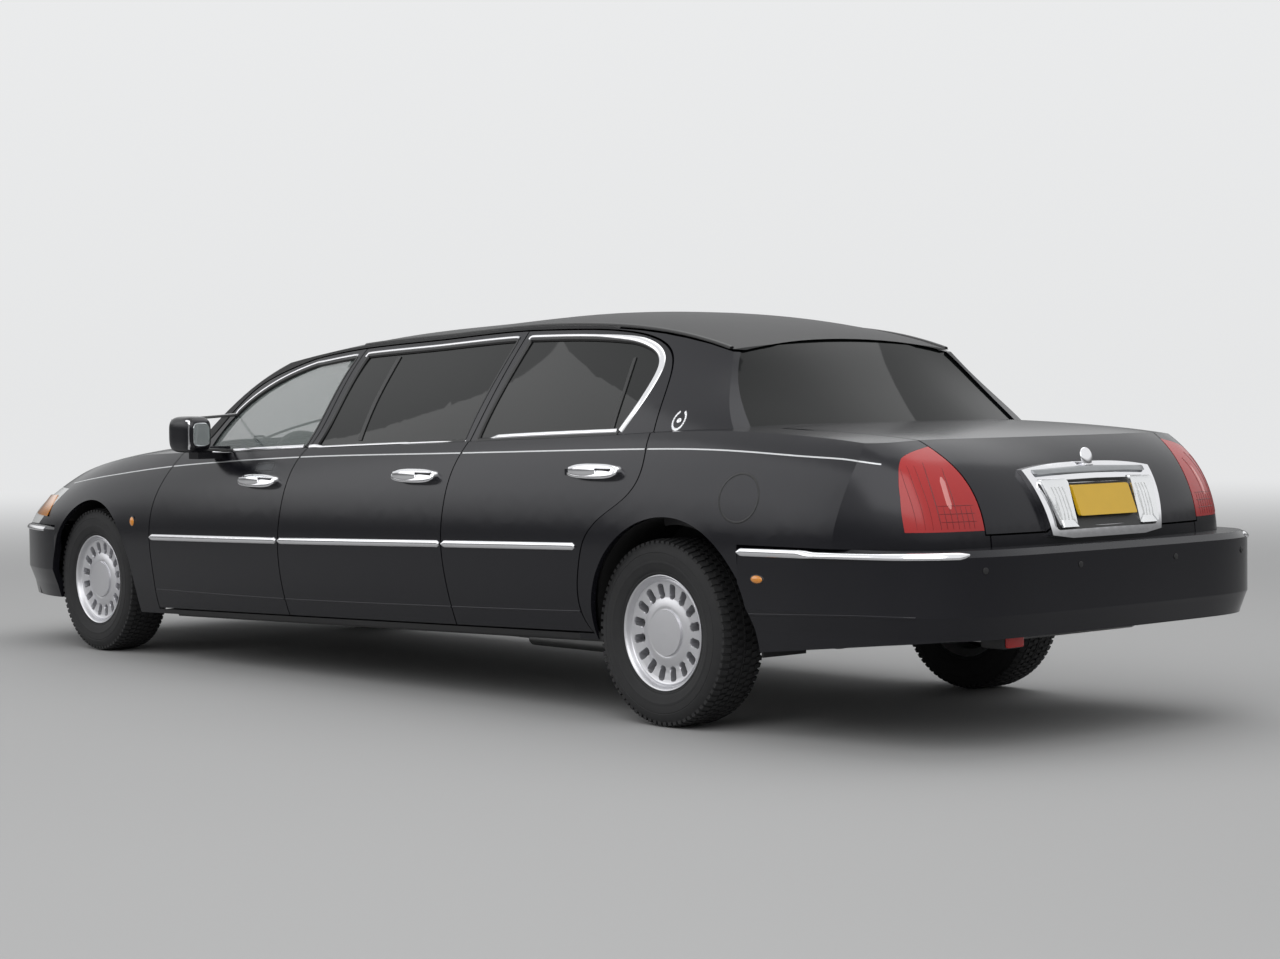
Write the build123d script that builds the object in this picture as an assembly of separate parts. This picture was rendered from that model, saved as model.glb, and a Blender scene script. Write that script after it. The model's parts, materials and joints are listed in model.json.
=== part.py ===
"""Six-door stretched luxury saloon, built as its real panels, running gear and cabin.

Units are millimetres. While it is modelled, X is measured forwards from the rear axle, Y to the
car's left and Z up from the ground. export() shifts everything so that the origin lies on the
ground under the middle of the car.
"""

from build123d import *
import os
from math import pi, radians, tan

# ---------------------------------------------------------------- driving sizes
BASE_WHEELBASE = 2990.0
STRETCH = 1194.0
FRONT_OVERHANG = 1049.0
REAR_OVERHANG = 1430.0
HALF_WIDTH = 990.0
MOULDING_REAR = 671.0
MOULDING_FRONT = 564.0
BELT_REAR = 1084.0
BELT_FRONT = 941.0
TRACK_FRONT = 1610.0
TRACK_REAR = 1660.0

TYRE_RADIUS = 348.0
TYRE_WIDTH = 225.0
RIM_RADIUS = 221.0
RIM_WIDTH = 196.0

PANEL = 22.0
DOOR_THICKNESS = 72.0
DOOR_GAP = 6.5
FRAME_GAP = 12.0
FRAME_THICKNESS = 34.0
UPPER_THICKNESS = 34.0
GLASS = 5.0
GLASS_INSET = 7.0
DOOR_EDGE_ANGLE = 17.0
DOOR_SIDE_REACH = 430.0
BODY_REACH = 1120.0
WINDOW_MARGIN = 42.0

WHEELBASE = BASE_WHEELBASE + STRETCH
RAKE = (MOULDING_REAR - MOULDING_FRONT) / WHEELBASE
BELT_FALL = (BELT_REAR - BELT_FRONT) / WHEELBASE
FRONT_AXLE = WHEELBASE
MID_X = (WHEELBASE + FRONT_OVERHANG - REAR_OVERHANG) / 2
BELOW_MOULDING_ROCKER = 361.0
BELOW_MOULDING_CREASE = 245.0

OUT = "parts"


# ---------------------------------------------------------------- curves along the car
def smooth(*points):
    """A function through the points, in rising order of x, with no overshoot (monotone cubic)."""
    xs = [p[0] for p in points]
    ys = [p[1] for p in points]
    slopes = [(ys[i + 1] - ys[i]) / (xs[i + 1] - xs[i]) for i in range(len(xs) - 1)]
    rates = [slopes[0]]
    for a, b in zip(slopes, slopes[1:]):
        rates.append(0.0 if a * b <= 0 else 2 * a * b / (a + b))
    rates.append(slopes[-1])

    def value(x):
        if x <= xs[0]:
            return ys[0] + (x - xs[0]) * rates[0]
        if x >= xs[-1]:
            return ys[-1] + (x - xs[-1]) * rates[-1]
        i = max(k for k in range(len(xs) - 1) if xs[k] <= x)
        h = xs[i + 1] - xs[i]
        t = (x - xs[i]) / h
        return (
            ys[i] * (1 + 2 * t) * (1 - t) ** 2
            + rates[i] * h * t * (1 - t) ** 2
            + ys[i + 1] * t * t * (3 - 2 * t)
            - rates[i + 1] * h * t * t * (1 - t)
        )

    return value


def front(dx):
    """X of a point dx ahead of the front axle."""
    return FRONT_AXLE + dx


def z_moulding(x):
    return MOULDING_REAR - RAKE * x


def z_rocker(x):
    return z_moulding(x) - BELOW_MOULDING_ROCKER


def z_belt(x):
    return BELT_REAR - BELT_FALL * x


# Plan shape of the widest line, and the shoulder where the side turns into the hood or deck.
half_width = smooth(
    (-1450, HALF_WIDTH - 130), (-1200, HALF_WIDTH - 62), (-900, HALF_WIDTH - 20), (-400, HALF_WIDTH - 3),
    (300, HALF_WIDTH), (front(-1300), HALF_WIDTH), (front(-400), HALF_WIDTH - 3), (front(0), HALF_WIDTH - 10),
    (front(350), HALF_WIDTH - 34), (front(600), HALF_WIDTH - 76), (front(800), HALF_WIDTH - 140),
    (front(1050), HALF_WIDTH - 260),
)
shoulder_y = smooth(
    (-1450, 700), (-1200, 800), (-900, 838), (-500, 850), (0, 872), (600, 880), (front(-1700), 882),
    (front(-800), 868), (front(-400), 845), (front(0), 818), (front(350), 780), (front(600), 720),
    (front(800), 640), (front(1050), 520),
)
shoulder_z = smooth(
    (-1450, 985), (-1200, 1012), (-1000, 1046), (-700, 1074), (-300, 1092), (100, 1080),
    (front(-2950), 1041), (front(-1850), 1006), (front(-900), 978), (front(-500), 966), (front(-150), 938),
    (front(150), 896), (front(450), 830), (front(700), 770), (front(1050), 690),
)
top_z = smooth(
    (-1450, 1000), (-1200, 1040), (-1000, 1072), (-700, 1098), (-300, 1116), (300, 1118),
    (front(-1500), 1090), (front(-800), 1046), (front(-400), 1010), (front(0), 966), (front(400), 902),
    (front(700), 838), (front(1050), 750),
)
# Plan of the tail's corner beside the flat part: (y, how far ahead of it, how much the corner faces sideways).
TAIL_FLAT_HALF = 590.0
TAIL_BOW = 40.0
TAIL_CORNER = [
    (1050, 550, 0.9), (985, 400, 0.9), (910, 225, 0.8), (860, 140, 0.7), (820, 90, 0.6), (770, 52, 0.5),
    (700, 26, 0.3), (TAIL_FLAT_HALF, 0, 0.1),
]
HULL_STATIONS = [
    -1500, -1250, -1000, -650, -250, 300, 1000, 1800, front(-1700), front(-1100), front(-700), front(-350),
    front(0), front(300), front(550), front(780), front(1080),
]

# Greenhouse: foot of the side glass, the drip rail and the crown of the roof.
green_y = smooth(
    (-800, 700), (-500, 752), (-322, 790), (-60, 836), (300, 862), (900, 872), (front(-1500), 872),
    (front(-1084), 848), (front(-833), 820), (front(-500), 780),
)
drip_y = smooth(
    (-800, 540), (-500, 566), (-60, 596), (300, 616), (900, 624), (front(-1900), 624), (front(-1500), 632),
    (front(-1084), 646), (front(-500), 660),
)
drip_z = smooth(
    (-800, 1200), (-400, 1285), (-60, 1389), (135, 1437), (440, 1481), (760, 1500), (1100, 1503),
    (1670, 1480), (front(-1919), 1453), (front(-1495), 1409), (front(-1184), 1362), (front(-500), 1262),
)
crown = smooth((-800, 30), (-60, 38), (500, 56), (1300, 66), (front(-1900), 66), (front(-1400), 58), (front(-500), 50))
GREEN_STATIONS = [
    -800, -450, -200, -60, 135, 440, 760, 1100, 1670, front(-1919), front(-1495), front(-1184), front(-850),
    front(-500),
]


# ---------------------------------------------------------------- section helpers
def inward(points, depth):
    """The section points moved inwards, at right angles to the line through their neighbours."""
    moved = []
    for i, (y, z) in enumerate(points):
        before = points[max(i - 1, 0)]
        after = points[min(i + 1, len(points) - 1)]
        dy, dz = after[0] - before[0], after[1] - before[1]
        size = (dy * dy + dz * dz) ** 0.5
        moved.append((y - depth * dz / size, z + depth * dy / size))
    return moved


def side_points(x, depth):
    """Body side from the rocker up to the shoulder, as (y, z)."""
    w, zm, zr = half_width(x), z_moulding(x), z_rocker(x)
    ys, zs = shoulder_y(x), shoulder_z(x)
    rise, drop = zs - zm, w - ys
    points = [
        (w - 72, zr),
        (w - 30, zm - BELOW_MOULDING_CREASE),
        (w - 5, zm - 95),
        (w, zm),
        (w - 0.12 * drop, zm + 0.36 * rise),
        (w - 0.42 * drop, zm + 0.70 * rise),
        (ys, zs),
    ]
    points = inward(points, depth)
    if depth:
        points[0] = (points[0][0], zr - 80)
    return points


def curve(points):
    return Edge.make_spline([Vector(*p) for p in points])


def line(start, end):
    return Edge.make_line(Vector(*start), Vector(*end))


def symmetric_section(x, side, top):
    """A closed wire at station x: the left side run (y, z), the top run, then the same on the right."""
    right = [(x, -y, z) for y, z in reversed(side)]
    return Wire([
        curve([(x, y, z) for y, z in side]),
        curve([(x, y, z) for y, z in top]),
        curve(right),
        line(right[-1], (x, side[0][0], side[0][1])),
    ])


def hull_section(x, depth):
    side = side_points(x, depth)
    ys, zs = side[-1]
    rise = top_z(x) - depth - zs
    half = [(ys, zs), (ys * 0.8, zs + 0.62 * rise), (ys * 0.45, zs + 0.92 * rise)]
    top = half + [(0, zs + rise)] + [(-y, z) for y, z in reversed(half)]
    return symmetric_section(x, side, top)


def green_section(x, depth):
    yb, zb = green_y(x), z_belt(x)
    yd, zd = drip_y(x), drip_z(x)
    run = [(yb + 30, zb - 90), (yb, zb), ((yb + yd) / 2 + 14, (zb + zd) / 2), (yd, zd)]
    run = inward(run, depth)
    yd, zd = yd - depth * 0.9, zd - depth * 0.9
    run[-1] = (yd, zd)
    rise = drip_z(x) + crown(x) - depth - zd
    half = [(yd, zd), (yd * 0.55, zd + 0.72 * rise)]
    top = half + [(0, zd + rise)] + [(-y, z) for y, z in reversed(half)]
    return symmetric_section(x, run, top)


def bowed_end(middle, bow, corner, z):
    """A curve across the car at height z: its x at the middle, and how far it has come back at the corner."""
    wide = HALF_WIDTH + 60
    half = [(middle + bow * 1.9, wide, z), (middle + bow, corner, z), (middle + bow * 0.22, corner * 0.5, z)]
    return half + [(middle, 0, z)] + [(x, -y, z) for x, y, z in reversed(half)]


def round_tail(middle, bow, depth, z):
    """A curve across the tail at height z: its x at the middle, and how far it has come forwards beside the lid."""
    half = [(middle + bow + back + depth, y - depth * turn, z) for y, back, turn in TAIL_CORNER]
    half += [(middle + bow * 0.22 + depth, TAIL_FLAT_HALF / 2, z)]
    return half + [(middle + depth, 0, z)] + [(x, -y, z) for x, y, z in reversed(half)]


def plan_section(z, rear, ahead, depth):
    """A closed plan outline at height z between a bowed rear end and a bowed front end."""
    back = round_tail(*rear, depth, z) if len(rear) == 2 else bowed_end(rear[0] + depth, rear[1], rear[2], z)
    nose = [(x, -y, z) for x, y, z in bowed_end(ahead[0] - depth, -ahead[1], ahead[2], z)]
    return Wire([curve(back), line(back[-1], nose[0]), curve(nose), line(nose[-1], back[0])])


def hull(depth):
    """The lower body as a solid, all its faces moved in by depth, apart from an open bottom."""
    body = Solid.make_loft([hull_section(x, depth) for x in HULL_STATIONS])
    levels = [
        (100, (-1318, TAIL_BOW), (front(905), 120, 640)),
        (500, (-1318, TAIL_BOW), (front(905), 120, 640)),
        (760, (-1314, TAIL_BOW), (front(895), 130, 640)),
        (900, (-1260, TAIL_BOW), (front(850), 140, 640)),
        (1000, (-1172, TAIL_BOW), (front(780), 150, 640)),
        (1060, (-1084, TAIL_BOW), (front(700), 150, 640)),
        (1200, (-860, TAIL_BOW), (front(500), 150, 640)),
    ]
    ends = Solid.make_loft([plan_section(z, r, f, depth) for z, r, f in levels])
    return body & ends


def greenhouse(depth):
    """The cabin top as a solid: side windows, roof, windscreen and rear window surfaces."""
    body = Solid.make_loft([green_section(x, depth) for x in GREEN_STATIONS])
    slope = depth * 1.7
    levels = [
        (930, (-590, 150, 720), (front(-600), 160, 800)),
        (1100, (-430, 135, 710), (front(-735), 155, 780)),
        (1200, (-315, 115, 670), (front(-860), 145, 730)),
        (1300, (-205, 90, 640), (front(-1020), 130, 690)),
        (1390, (-108, 55, 600), (front(-1240), 110, 640)),
        (1480, (0, 30, 560), (front(-1540), 90, 600)),
        (1600, (160, 20, 560), (front(-2050), 80, 600)),
    ]
    ends = Solid.make_loft([plan_section(z, r, f, slope) for z, r, f in levels])
    return body & ends


# ---------------------------------------------------------------- cutters
def box(x, y, z):
    """A box from three (low, high) pairs."""
    return Pos(sum(x) / 2, sum(y) / 2, sum(z) / 2) * Box(x[1] - x[0], y[1] - y[0], z[1] - z[0])


def ring(runs):
    """A closed wire from runs of points that meet end to end: two points are a line, more a curve."""
    return Wire([line(*run) if len(run) == 2 else curve(run) for run in runs])


def side_cutter(runs, slant=0.0, inner=DOOR_SIDE_REACH, outer=BODY_REACH):
    """A cutter seen from the side: runs of (x, y on the body, z), its walls leaning back by slant."""
    def at(y):
        return ring([[(px - slant * (y - py), y, pz) for px, py, pz in run] for run in runs])
    return Solid.make_loft([at(inner), at(outer)], True)


def end_cutter(runs, x_from, x_to):
    """A cutter seen from an end: runs of (y, z)."""
    return Solid.make_loft([ring([[(x, y, z) for y, z in run] for run in runs]) for x in (x_from, x_to)], True)


def plan_cutter(runs, z_from, z_to):
    """A cutter seen from above: runs of (x, y)."""
    return Solid.make_loft([ring([[(x, y, z) for x, y in run] for run in runs]) for z in (z_from, z_to)], True)


def barrel(x, z, radius, y_from, y_to):
    """A cylinder across the car."""
    return Pos(x, (y_from + y_to) / 2, z) * Rot(90, 0, 0) * Cylinder(radius, abs(y_to - y_from))


# ---------------------------------------------------------------- door outlines
SLANT = tan(radians(DOOR_EDGE_ANGLE))

FENDER_LINE = [
    (front(-628), 915, 200), (front(-640), 945, 300), (front(-652), 967, 391), (front(-647), 987, 584),
    (front(-661), 977, 737), (front(-726), 951, 871), (front(-793), 909, 981),
]
SCREEN_PILLAR_LINE = [
    (front(-793), 909, 981), (front(-900), 806, 1035), (front(-1130), 722, 1250), (front(-1370), 668, 1352),
    (front(-1540), 650, 1394),
]
FRONT_GAP_LINE = [
    (front(-1741), 915, 200), (front(-1738), 950, 330), (front(-1736), 988, 585), (front(-1742), 982, 692),
    (front(-1761), 957, 844), (front(-1810), 906, 986), (front(-1847), 868, 1040), (front(-1893), 756, 1240),
    (front(-1939), 640, 1440),
]
REAR_GAP_LINE = [
    (1230, 915, 200), (1237, 965, 400), (1259, 989, 629), (1260, 975, 761), (1235, 919, 958),
    (1207, 876, 1046), (1160, 758, 1262), (1110, 638, 1486),
]
REAR_PILLAR_LINE = [(520, 632, 1469), (330, 652, 1437), (209, 667, 1369), (151, 746, 1247), (101, 888, 1025)]
QUARTER_LINE = [
    (101, 888, 1025), (134, 953, 862), (173, 960, 832), (309, 976, 749), (372, 984, 677), (396, 989, 605),
    (420, 971, 412), (375, 954, 328), (330, 930, 230),
]
DOOR_BOTTOM = 28.0
DOOR_TOP_DROP = 18.0


def top_line(x):
    """A point on the top edge of the doors."""
    return (x, drip_y(x) + 8, drip_z(x) - DOOR_TOP_DROP)


def shifted(run, dx, dz=0.0):
    return [(x + dx, y, z + dz) for x, y, z in run]


def crossing(run, z):
    """The point of a run at height z."""
    ordered = sorted(run, key=lambda p: p[2])
    return (smooth(*[(p[2], p[0]) for p in ordered])(z), smooth(*[(p[2], p[1]) for p in ordered])(z), z)


def trimmed(run, bottom, top=None):
    """A run of an edge, from its bottom height up, and ending at its top height where one is given."""
    kept = [p for p in run if p[2] > bottom + 20 and (top is None or p[2] < top - 20)]
    kept = [crossing(run, bottom)] + kept
    return kept if top is None else kept + [crossing(run, top)]


def door_bottom(x):
    return z_rocker(x) + DOOR_BOTTOM


def door_outline(index, grow=0.0):
    """The closed runs of a door outline, all edges moved out by grow."""
    half = DOOR_GAP / 2
    lift = grow

    def top_between(a, b):
        start, end = top_line(a), top_line(b)
        n = 3
        mids = [top_line(a + (b - a) * k / (n + 1)) for k in range(1, n + 1)]
        return [(x, y, z + lift) for x, y, z in [start] + mids + [end]]

    def leading(run):
        bottom = door_bottom(run[1][0]) - grow
        return bottom, shifted(run, -half + grow)

    if index == 0:
        bottom, edge = leading(FENDER_LINE)
        up = trimmed(edge, bottom)
        pillar = shifted(SCREEN_PILLAR_LINE, -half + grow, 0)
        pillar = [up[-1]] + [(x, y, z + lift) for x, y, z in pillar[1:]]
        first = [up, pillar]
        start_x = pillar[-1][0]
    else:
        line_points = FRONT_GAP_LINE if index == 1 else REAR_GAP_LINE
        bottom, edge = leading(line_points)
        top = top_line(line_points[-1][0])[2] + lift
        up = trimmed(edge, bottom, top)
        first = [up]
        start_x = up[-1][0]

    if index < 2:
        line_points = REAR_GAP_LINE if index == 1 else FRONT_GAP_LINE
        edge = shifted(line_points, half - grow)
        low = door_bottom(edge[1][0]) - grow
        top = top_line(line_points[-1][0])[2] + lift
        down = trimmed(edge, low, top)[::-1]
        last = [down]
    else:
        pillar = [(x - grow, y, z + lift) for x, y, z in REAR_PILLAR_LINE[:-1]]
        edge = shifted(QUARTER_LINE, -grow)
        low = door_bottom(330) - grow
        tail = [p for p in edge if p[2] > low + 20] + [crossing(edge[5:], low)]
        pillar.append(tail[0])
        last = [pillar, tail]
    head = top_between(start_x, last[0][0][0])
    head[0] = first[-1][-1]
    head[-1] = last[0][0]
    return first + [head] + last + [[last[-1][-1], first[0][0]]]


def door_cutter(index, grow=0.0):
    return side_cutter(door_outline(index, grow), SLANT)


# ---------------------------------------------------------------- windows
def window_outline(index, shrink=0.0):
    """The runs of a door's window opening."""
    m = WINDOW_MARGIN + shrink

    def sill(x):
        return z_belt(x) + 6 + shrink

    if index == 0:
        pillar = [(x - 1.15 * m, y, z - 0.55 * m) for x, y, z in SCREEN_PILLAR_LINE[1:]]
        start = (pillar[0][0] + 22, 840, sill(pillar[0][0]))
        pillar = [start] + pillar
        rear = shifted(FRONT_GAP_LINE, m)
    elif index == 1:
        pillar = None
        lead = shifted(FRONT_GAP_LINE, -m)
        rear = shifted(REAR_GAP_LINE, m)
    else:
        pillar = None
        lead = shifted(REAR_GAP_LINE, -m)
        rear = None

    def head(x):
        px, py, pz = top_line(x)
        return (px, py, pz - m * 0.8)

    if pillar is None:
        top_z_lead = head(lead[-1][0])[2]
        pillar = trimmed(lead, sill(lead[-2][0]), top_z_lead)
    if rear is not None:
        top_z_rear = head(rear[-1][0])[2]
        back = trimmed(rear, sill(rear[-2][0]), top_z_rear)[::-1]
        last = [back]
    else:
        last = [[(470 + shrink, 660, 1432 - shrink), (335 + shrink, 690, 1402 - shrink), (248 + shrink, 740, 1335),
                 (243 + shrink, 770, 1270), (262 + shrink, 805, 1190), (318 + shrink, 870, sill(318))]]
    a, b = pillar[-1][0], last[0][0][0]
    top = [head(a + (b - a) * k / 4) for k in range(5)]
    top[0] = pillar[-1]
    top[-1] = last[0][0]
    return [pillar, top] + last + [[last[-1][-1], pillar[0]]]


def window_cutter(index, shrink=0.0):
    return side_cutter(window_outline(index, shrink))


# ---------------------------------------------------------------- body outlines
HOOD_REAR_X = front(-590)
HOOD_SIDE = [
    (HOOD_REAR_X, 800), (front(-300), 786), (front(0), 764), (front(350), 724), (front(620), 668), (front(772), 590),
]
HOOD_LEAN = tan(radians(14))
LID_FRONT_X = -452.0
LID_SIDE = [
    (-1420, 578), (-1280, 581), (-1226, 591), (-1154, 611), (-1102, 628), (-900, 672), (-700, 700), (LID_FRONT_X, 720),
]
LID_BOTTOM = 740.0
LAMP_BOTTOM = 752.0
LAMP_FRONT = [(-1152, 700), (-1152, 750), (-1124, 870), (-1100, 940), (-1074, 1000), (-1066, 1100)]
REAR_PANEL_HALF = 562.0
BUMPER_TOP_REAR = 694.0
BUMPER_TOP_FRONT = 606.0
BUMPER_START_REAR = -470.0
BUMPER_START_FRONT = front(318)
ARCH_REAR = (-83.0, 330.0, 450.0)
ARCH_FRONT = (front(-58), 337.0, 404.0)
WELL_REAR = (-40.0, 345.0, 432.0)
WELL_FRONT = (front(-20), 345.0, 425.0)
WELL_INNER_REAR = 650.0
WELL_INNER_FRONT = 485.0
WELL_OUTER = 935.0
WELL_SHEET = 8.0
PANEL_GAP = 6.0
LID_EASE = 0.5


def hood_cutter(grow=0.0):
    """Region of the hood, its front edge leaning forwards as it rises."""
    def at(z):
        lean = (z - 800) * HOOD_LEAN
        side = [(x + (lean if i == len(HOOD_SIDE) - 1 else 0) + (grow if i else -grow), y + grow, z)
                for i, (x, y) in enumerate(HOOD_SIDE)]
        other = [(x, -y, z) for x, y, z in reversed(side)]
        nose = [side[-1], (front(850) + lean + grow, 330, z), (front(884) + lean + grow, 0, z),
                (front(850) + lean + grow, -330, z), other[0]]
        return ring([side, nose, other, [other[-1], side[0]]])
    return Solid.make_loft([at(700), at(1200)], True)


def lid_cutter(grow=0.0):
    """Region of the boot lid: its deck and the part of its rear face between the lamps."""
    side = [(x + (grow if x == LID_FRONT_X else 0), y + grow) for x, y in LID_SIDE]
    other = [(x, -y) for x, y in reversed(side)]
    return plan_cutter([side, [side[-1], other[0]], other, [other[-1], side[0]]], LID_BOTTOM - grow, 1300)


# Plan of each bumper's left half: x, y, and how its face there points along and across the car.
REAR_BUMPER_PLAN = [
    (BUMPER_START_REAR, 983, 0.0, 1.0), (-800, 979, 0.0, 1.0), (-1050, 957, 0.0, 1.0), (-1190, 930, 0.15, 0.95),
    (-1290, 868, 0.5, 0.8), (-1358, 780, 0.75, 0.6), (-1398, 660, 0.9, 0.35), (-1422, 400, 1.0, 0.1),
    (-REAR_OVERHANG, 0, 1.0, 0.0),
]
FRONT_BUMPER_PLAN = [
    (BUMPER_START_FRONT, 956, 0.0, 1.0), (front(450), 950, 0.0, 1.0), (front(640), 905, -0.2, 0.95),
    (front(800), 838, -0.5, 0.8), (front(920), 740, -0.7, 0.65), (front(1000), 590, -0.9, 0.4),
    (front(1036), 380, -1.0, 0.15), (front(FRONT_OVERHANG), 0, -1.0, 0.0),
]
# Upright section of a bumper: height of each line from its top, and how far it stands in from the widest line.
BUMPER_SECTION = [(0, 22), (-22, 0), (-222, 0), (-238, 7), (-298, 30), (-450, 64)]


def bumper_block(plan, top, inset):
    """A bumper as a filled block whose faces follow its section, all moved in by inset."""
    rings = []
    for below, step in reversed(BUMPER_SECTION):
        move = step + inset
        side = [(x + along * move, y - across * move) for x, y, along, across in plan]
        run = [(x, y, top + below) for x, y in side] + [(x, -y, top + below) for x, y in reversed(side[:-1])]
        rings.append(ring([run, [run[-1], run[0]]]))
    return Solid.make_loft(rings, True)


def rear_bumper_solid(grow, z_low, z_high):
    """The rear bumper as a filled block, its faces moved out by grow."""
    start = BUMPER_START_REAR
    widths = [(start, half_width(start) - 4), (-800, half_width(-800) - 2), (-1050, 955), (-1190, 930), (-1290, 868),
              (-1358, 780), (-1398, 660), (-1422, 400)]
    side = [(x - grow * (0.0 if x > -1200 else 1.0), y + grow * (1.0 if x > -1360 else 0.4)) for x, y in widths]
    run = side + [(-REAR_OVERHANG - grow, 0)] + [(x, -y) for x, y in reversed(side)]
    return plan_cutter([run, [run[-1], run[0]]], z_low, z_high)


def front_bumper_solid(grow, z_low, z_high):
    start = BUMPER_START_FRONT
    widths = [(start, half_width(start) - 3), (front(450), 950), (front(640), 905), (front(800), 838), (front(920), 740),
              (front(1000), 590), (front(1036), 380)]
    side = [(x + grow * (0.0 if x < front(600) else 1.0), y + grow * (1.0 if x < front(950) else 0.4)) for x, y in widths]
    run = side + [(front(FRONT_OVERHANG) + grow, 0)] + [(x, -y) for x, y in reversed(side)]
    return plan_cutter([run, [run[-1], run[0]]], z_low, z_high)


def sheared_box(profile, y_low, y_high):
    """A prism across the car from a side-view polygon of (x, z)."""
    points = [(x, y_low, z) for x, z in profile]
    face = Face(Wire.make_polygon([Vector(*p) for p in points], close=True))
    return Solid.extrude(face, Vector(0, y_high - y_low, 0))


def arch_cut(arch, grow=0.0):
    x, z, radius = arch
    return barrel(x, z, radius + grow, 600, 1100)


# ---------------------------------------------------------------- sub-parts: body
def make_doors(walls):
    doors = {}
    names = ("front", "middle", "rear")
    for i, name in enumerate(names):
        panel = walls & door_cutter(i)
        panel = panel - window_cutter(i)
        doors[name] = panel.solids()[0]
    return doors


def handle(x, z):
    """A pull handle standing off the door skin."""
    y = body_side_y(x, z)
    bar = box((x - 135, x + 135), (y + 16, y + 30), (z - 15, z + 15))
    bar = fillet(bar.edges(), 6)
    feet = [box((cx - 16, cx + 16), (y - 25, y + 18), (z - 12, z + 12)) for cx in (x - 112, x + 112)]
    return bar + feet[0] + feet[1]


def body_side_y(x, z):
    """The outer skin's half width at (x, z) below the belt."""
    points = sorted((pz, py) for py, pz in side_points(x, 0.0))
    return smooth(*points)(z)


GRILLE_HALF = 300.0
SILL_REAR = 470.0
SILL_FRONT = front(-668)
GRILLE_TOP = 790.0
BENCH_BASE = 511.0
DECK_HALF = 735.0
BOOT_FLOOR = 480.0
SEAM_CLEARANCE = 0.3
BUMPER_SKIN = 36.0
FLOOR_RISE = 60.0
FLOOR_SHEET = 14.0
RAIL_Y = 430.0
RAIL_WIDTH = 60.0
HUB_HEIGHT = TYRE_RADIUS
SHAFT = 30.0
SHAFT_CLEARANCE = 0.5
SPOKES = 15
STEER_PIVOT_Y = 745.0
COWL_HALF = 800.0
LENS_DEPTH = 60.0


def biggest(shape):
    return max(shape.solids(), key=lambda part: part.volume)


def make_mirror():
    """The left door mirror: a rounded housing on a short arm."""
    x, z = front(-1144), 1066.0
    shell = box((x - 95, x + 95), (1000, 1118), (z - 74, z + 74))
    shell = fillet(shell.edges(), 30)
    arm = box((x - 20, x + 60), (860, 1030), (z - 112, z - 56))
    return shell + arm


def front_lamp_region(grow):
    """Side outline of the front lamps: the lens sweeps back over the bumper to the wheel arch."""
    low = BUMPER_TOP_FRONT + 2 * SEAM_CLEARANCE - grow
    profile = [(front(306) - 3 * grow, 786 + grow), (front(556) - grow, low), (front(1100), low), (front(1100), 792 + grow)]
    return sheared_box(profile, GRILLE_HALF + 14 - grow, 1100)


def rear_lamp_region(grow):
    """Region of a tail lamp, between the boot lid and the flank."""
    inner = [(x, y + PANEL_GAP - grow) for x, y in LID_SIDE if x < -1000]
    run = [inner, [inner[-1], (-1000, 660)], [(-1000, 660), (-1000, 1100)], [(-1000, 1100), (-1420, 1100)],
           [(-1420, 1100), inner[0]]]
    profile = [(x + grow, z) for x, z in LAMP_FRONT] + [(-1500, 1100), (-1500, 700)]
    return plan_cutter(run, LAMP_BOTTOM - grow, 1100) & sheared_box(profile, 500, 1100)


def make_fender(skin, cabin_top):
    """Left front wing: from the front door forwards, below the bonnet and above the bumper."""
    shape = skin & box((front(-960), front(1100)), (0, 1200), (z_rocker(front(0)) - 40, 1150))
    shape -= box((front(-960), HOOD_REAR_X + 3), (-10, COWL_HALF), (700, 1200))
    shape -= box((front(-1000), SILL_FRONT + SEAM_CLEARANCE), (-10, 1200), (100, 500))
    shape -= hood_cutter(PANEL_GAP)
    shape -= door_cutter(0, DOOR_GAP)
    shape -= cabin_top
    shape -= arch_cut(ARCH_FRONT)
    shape -= front_bumper_solid(60, 100, BUMPER_TOP_FRONT + SEAM_CLEARANCE)
    shape -= front_lamp_region(SEAM_CLEARANCE)
    shape -= box((front(300), front(1200)), (-10, GRILLE_HALF + 20), (100, 1000))
    return biggest(shape)


def make_quarter(skin, pillar_wall, cabin_block):
    """Left rear quarter: from the rear door back to the lamp, with the pillar beside the rear window."""
    low = skin & box((-1400, 560), (0, 1200), (200, 1150))
    low -= cabin_block
    low -= box((SILL_REAR - SEAM_CLEARANCE, 700), (-10, 1200), (100, 500))
    low -= lid_cutter(PANEL_GAP)
    low -= box((-1400, -1100), (-10, REAR_PANEL_HALF + PANEL_GAP), (600, LID_BOTTOM + 1))
    low -= box((LID_FRONT_X, 700), (-10, DECK_HALF), (800, 1200))
    drip = [(x, drip_z(x) - 8) for x in (-700, -400, -200, -60, 60, 180, 300, 440, 560)]
    profile = [(-700, 960)] + drip + [(560, 960)]
    pillar = pillar_wall & sheared_box(profile, 300, 1100)
    pillar -= box((-900, 300), (200, 742), (900, 1094))
    shape = biggest(low) + pillar.solids()
    shape -= door_cutter(2, DOOR_GAP)
    shape -= rear_window_cutter(0.0)
    shape -= arch_cut(ARCH_REAR)
    shape -= rear_lamp_region(SEAM_CLEARANCE)
    shape -= rear_bumper_solid(60, 100, BUMPER_TOP_REAR + SEAM_CLEARANCE) & box((-1600, BUMPER_START_REAR + SEAM_CLEARANCE), (-1, 1200), (0, 800))
    return biggest(shape)


def rear_window_cutter(grow):
    """The rear window seen from behind."""
    side = [(735 + grow, 1092 - grow), (700 + grow, 1180), (640 + grow, 1290), (566 + grow, 1384 + grow)]
    head = [side[-1], (300, 1420 + grow), (0, 1432 + grow), (-300, 1420 + grow), (-side[-1][0], side[-1][1])]
    right = [(-y, z) for y, z in reversed(side)]
    return end_cutter([side, head, right, [right[-1], side[0]]], -700, 260)


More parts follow.
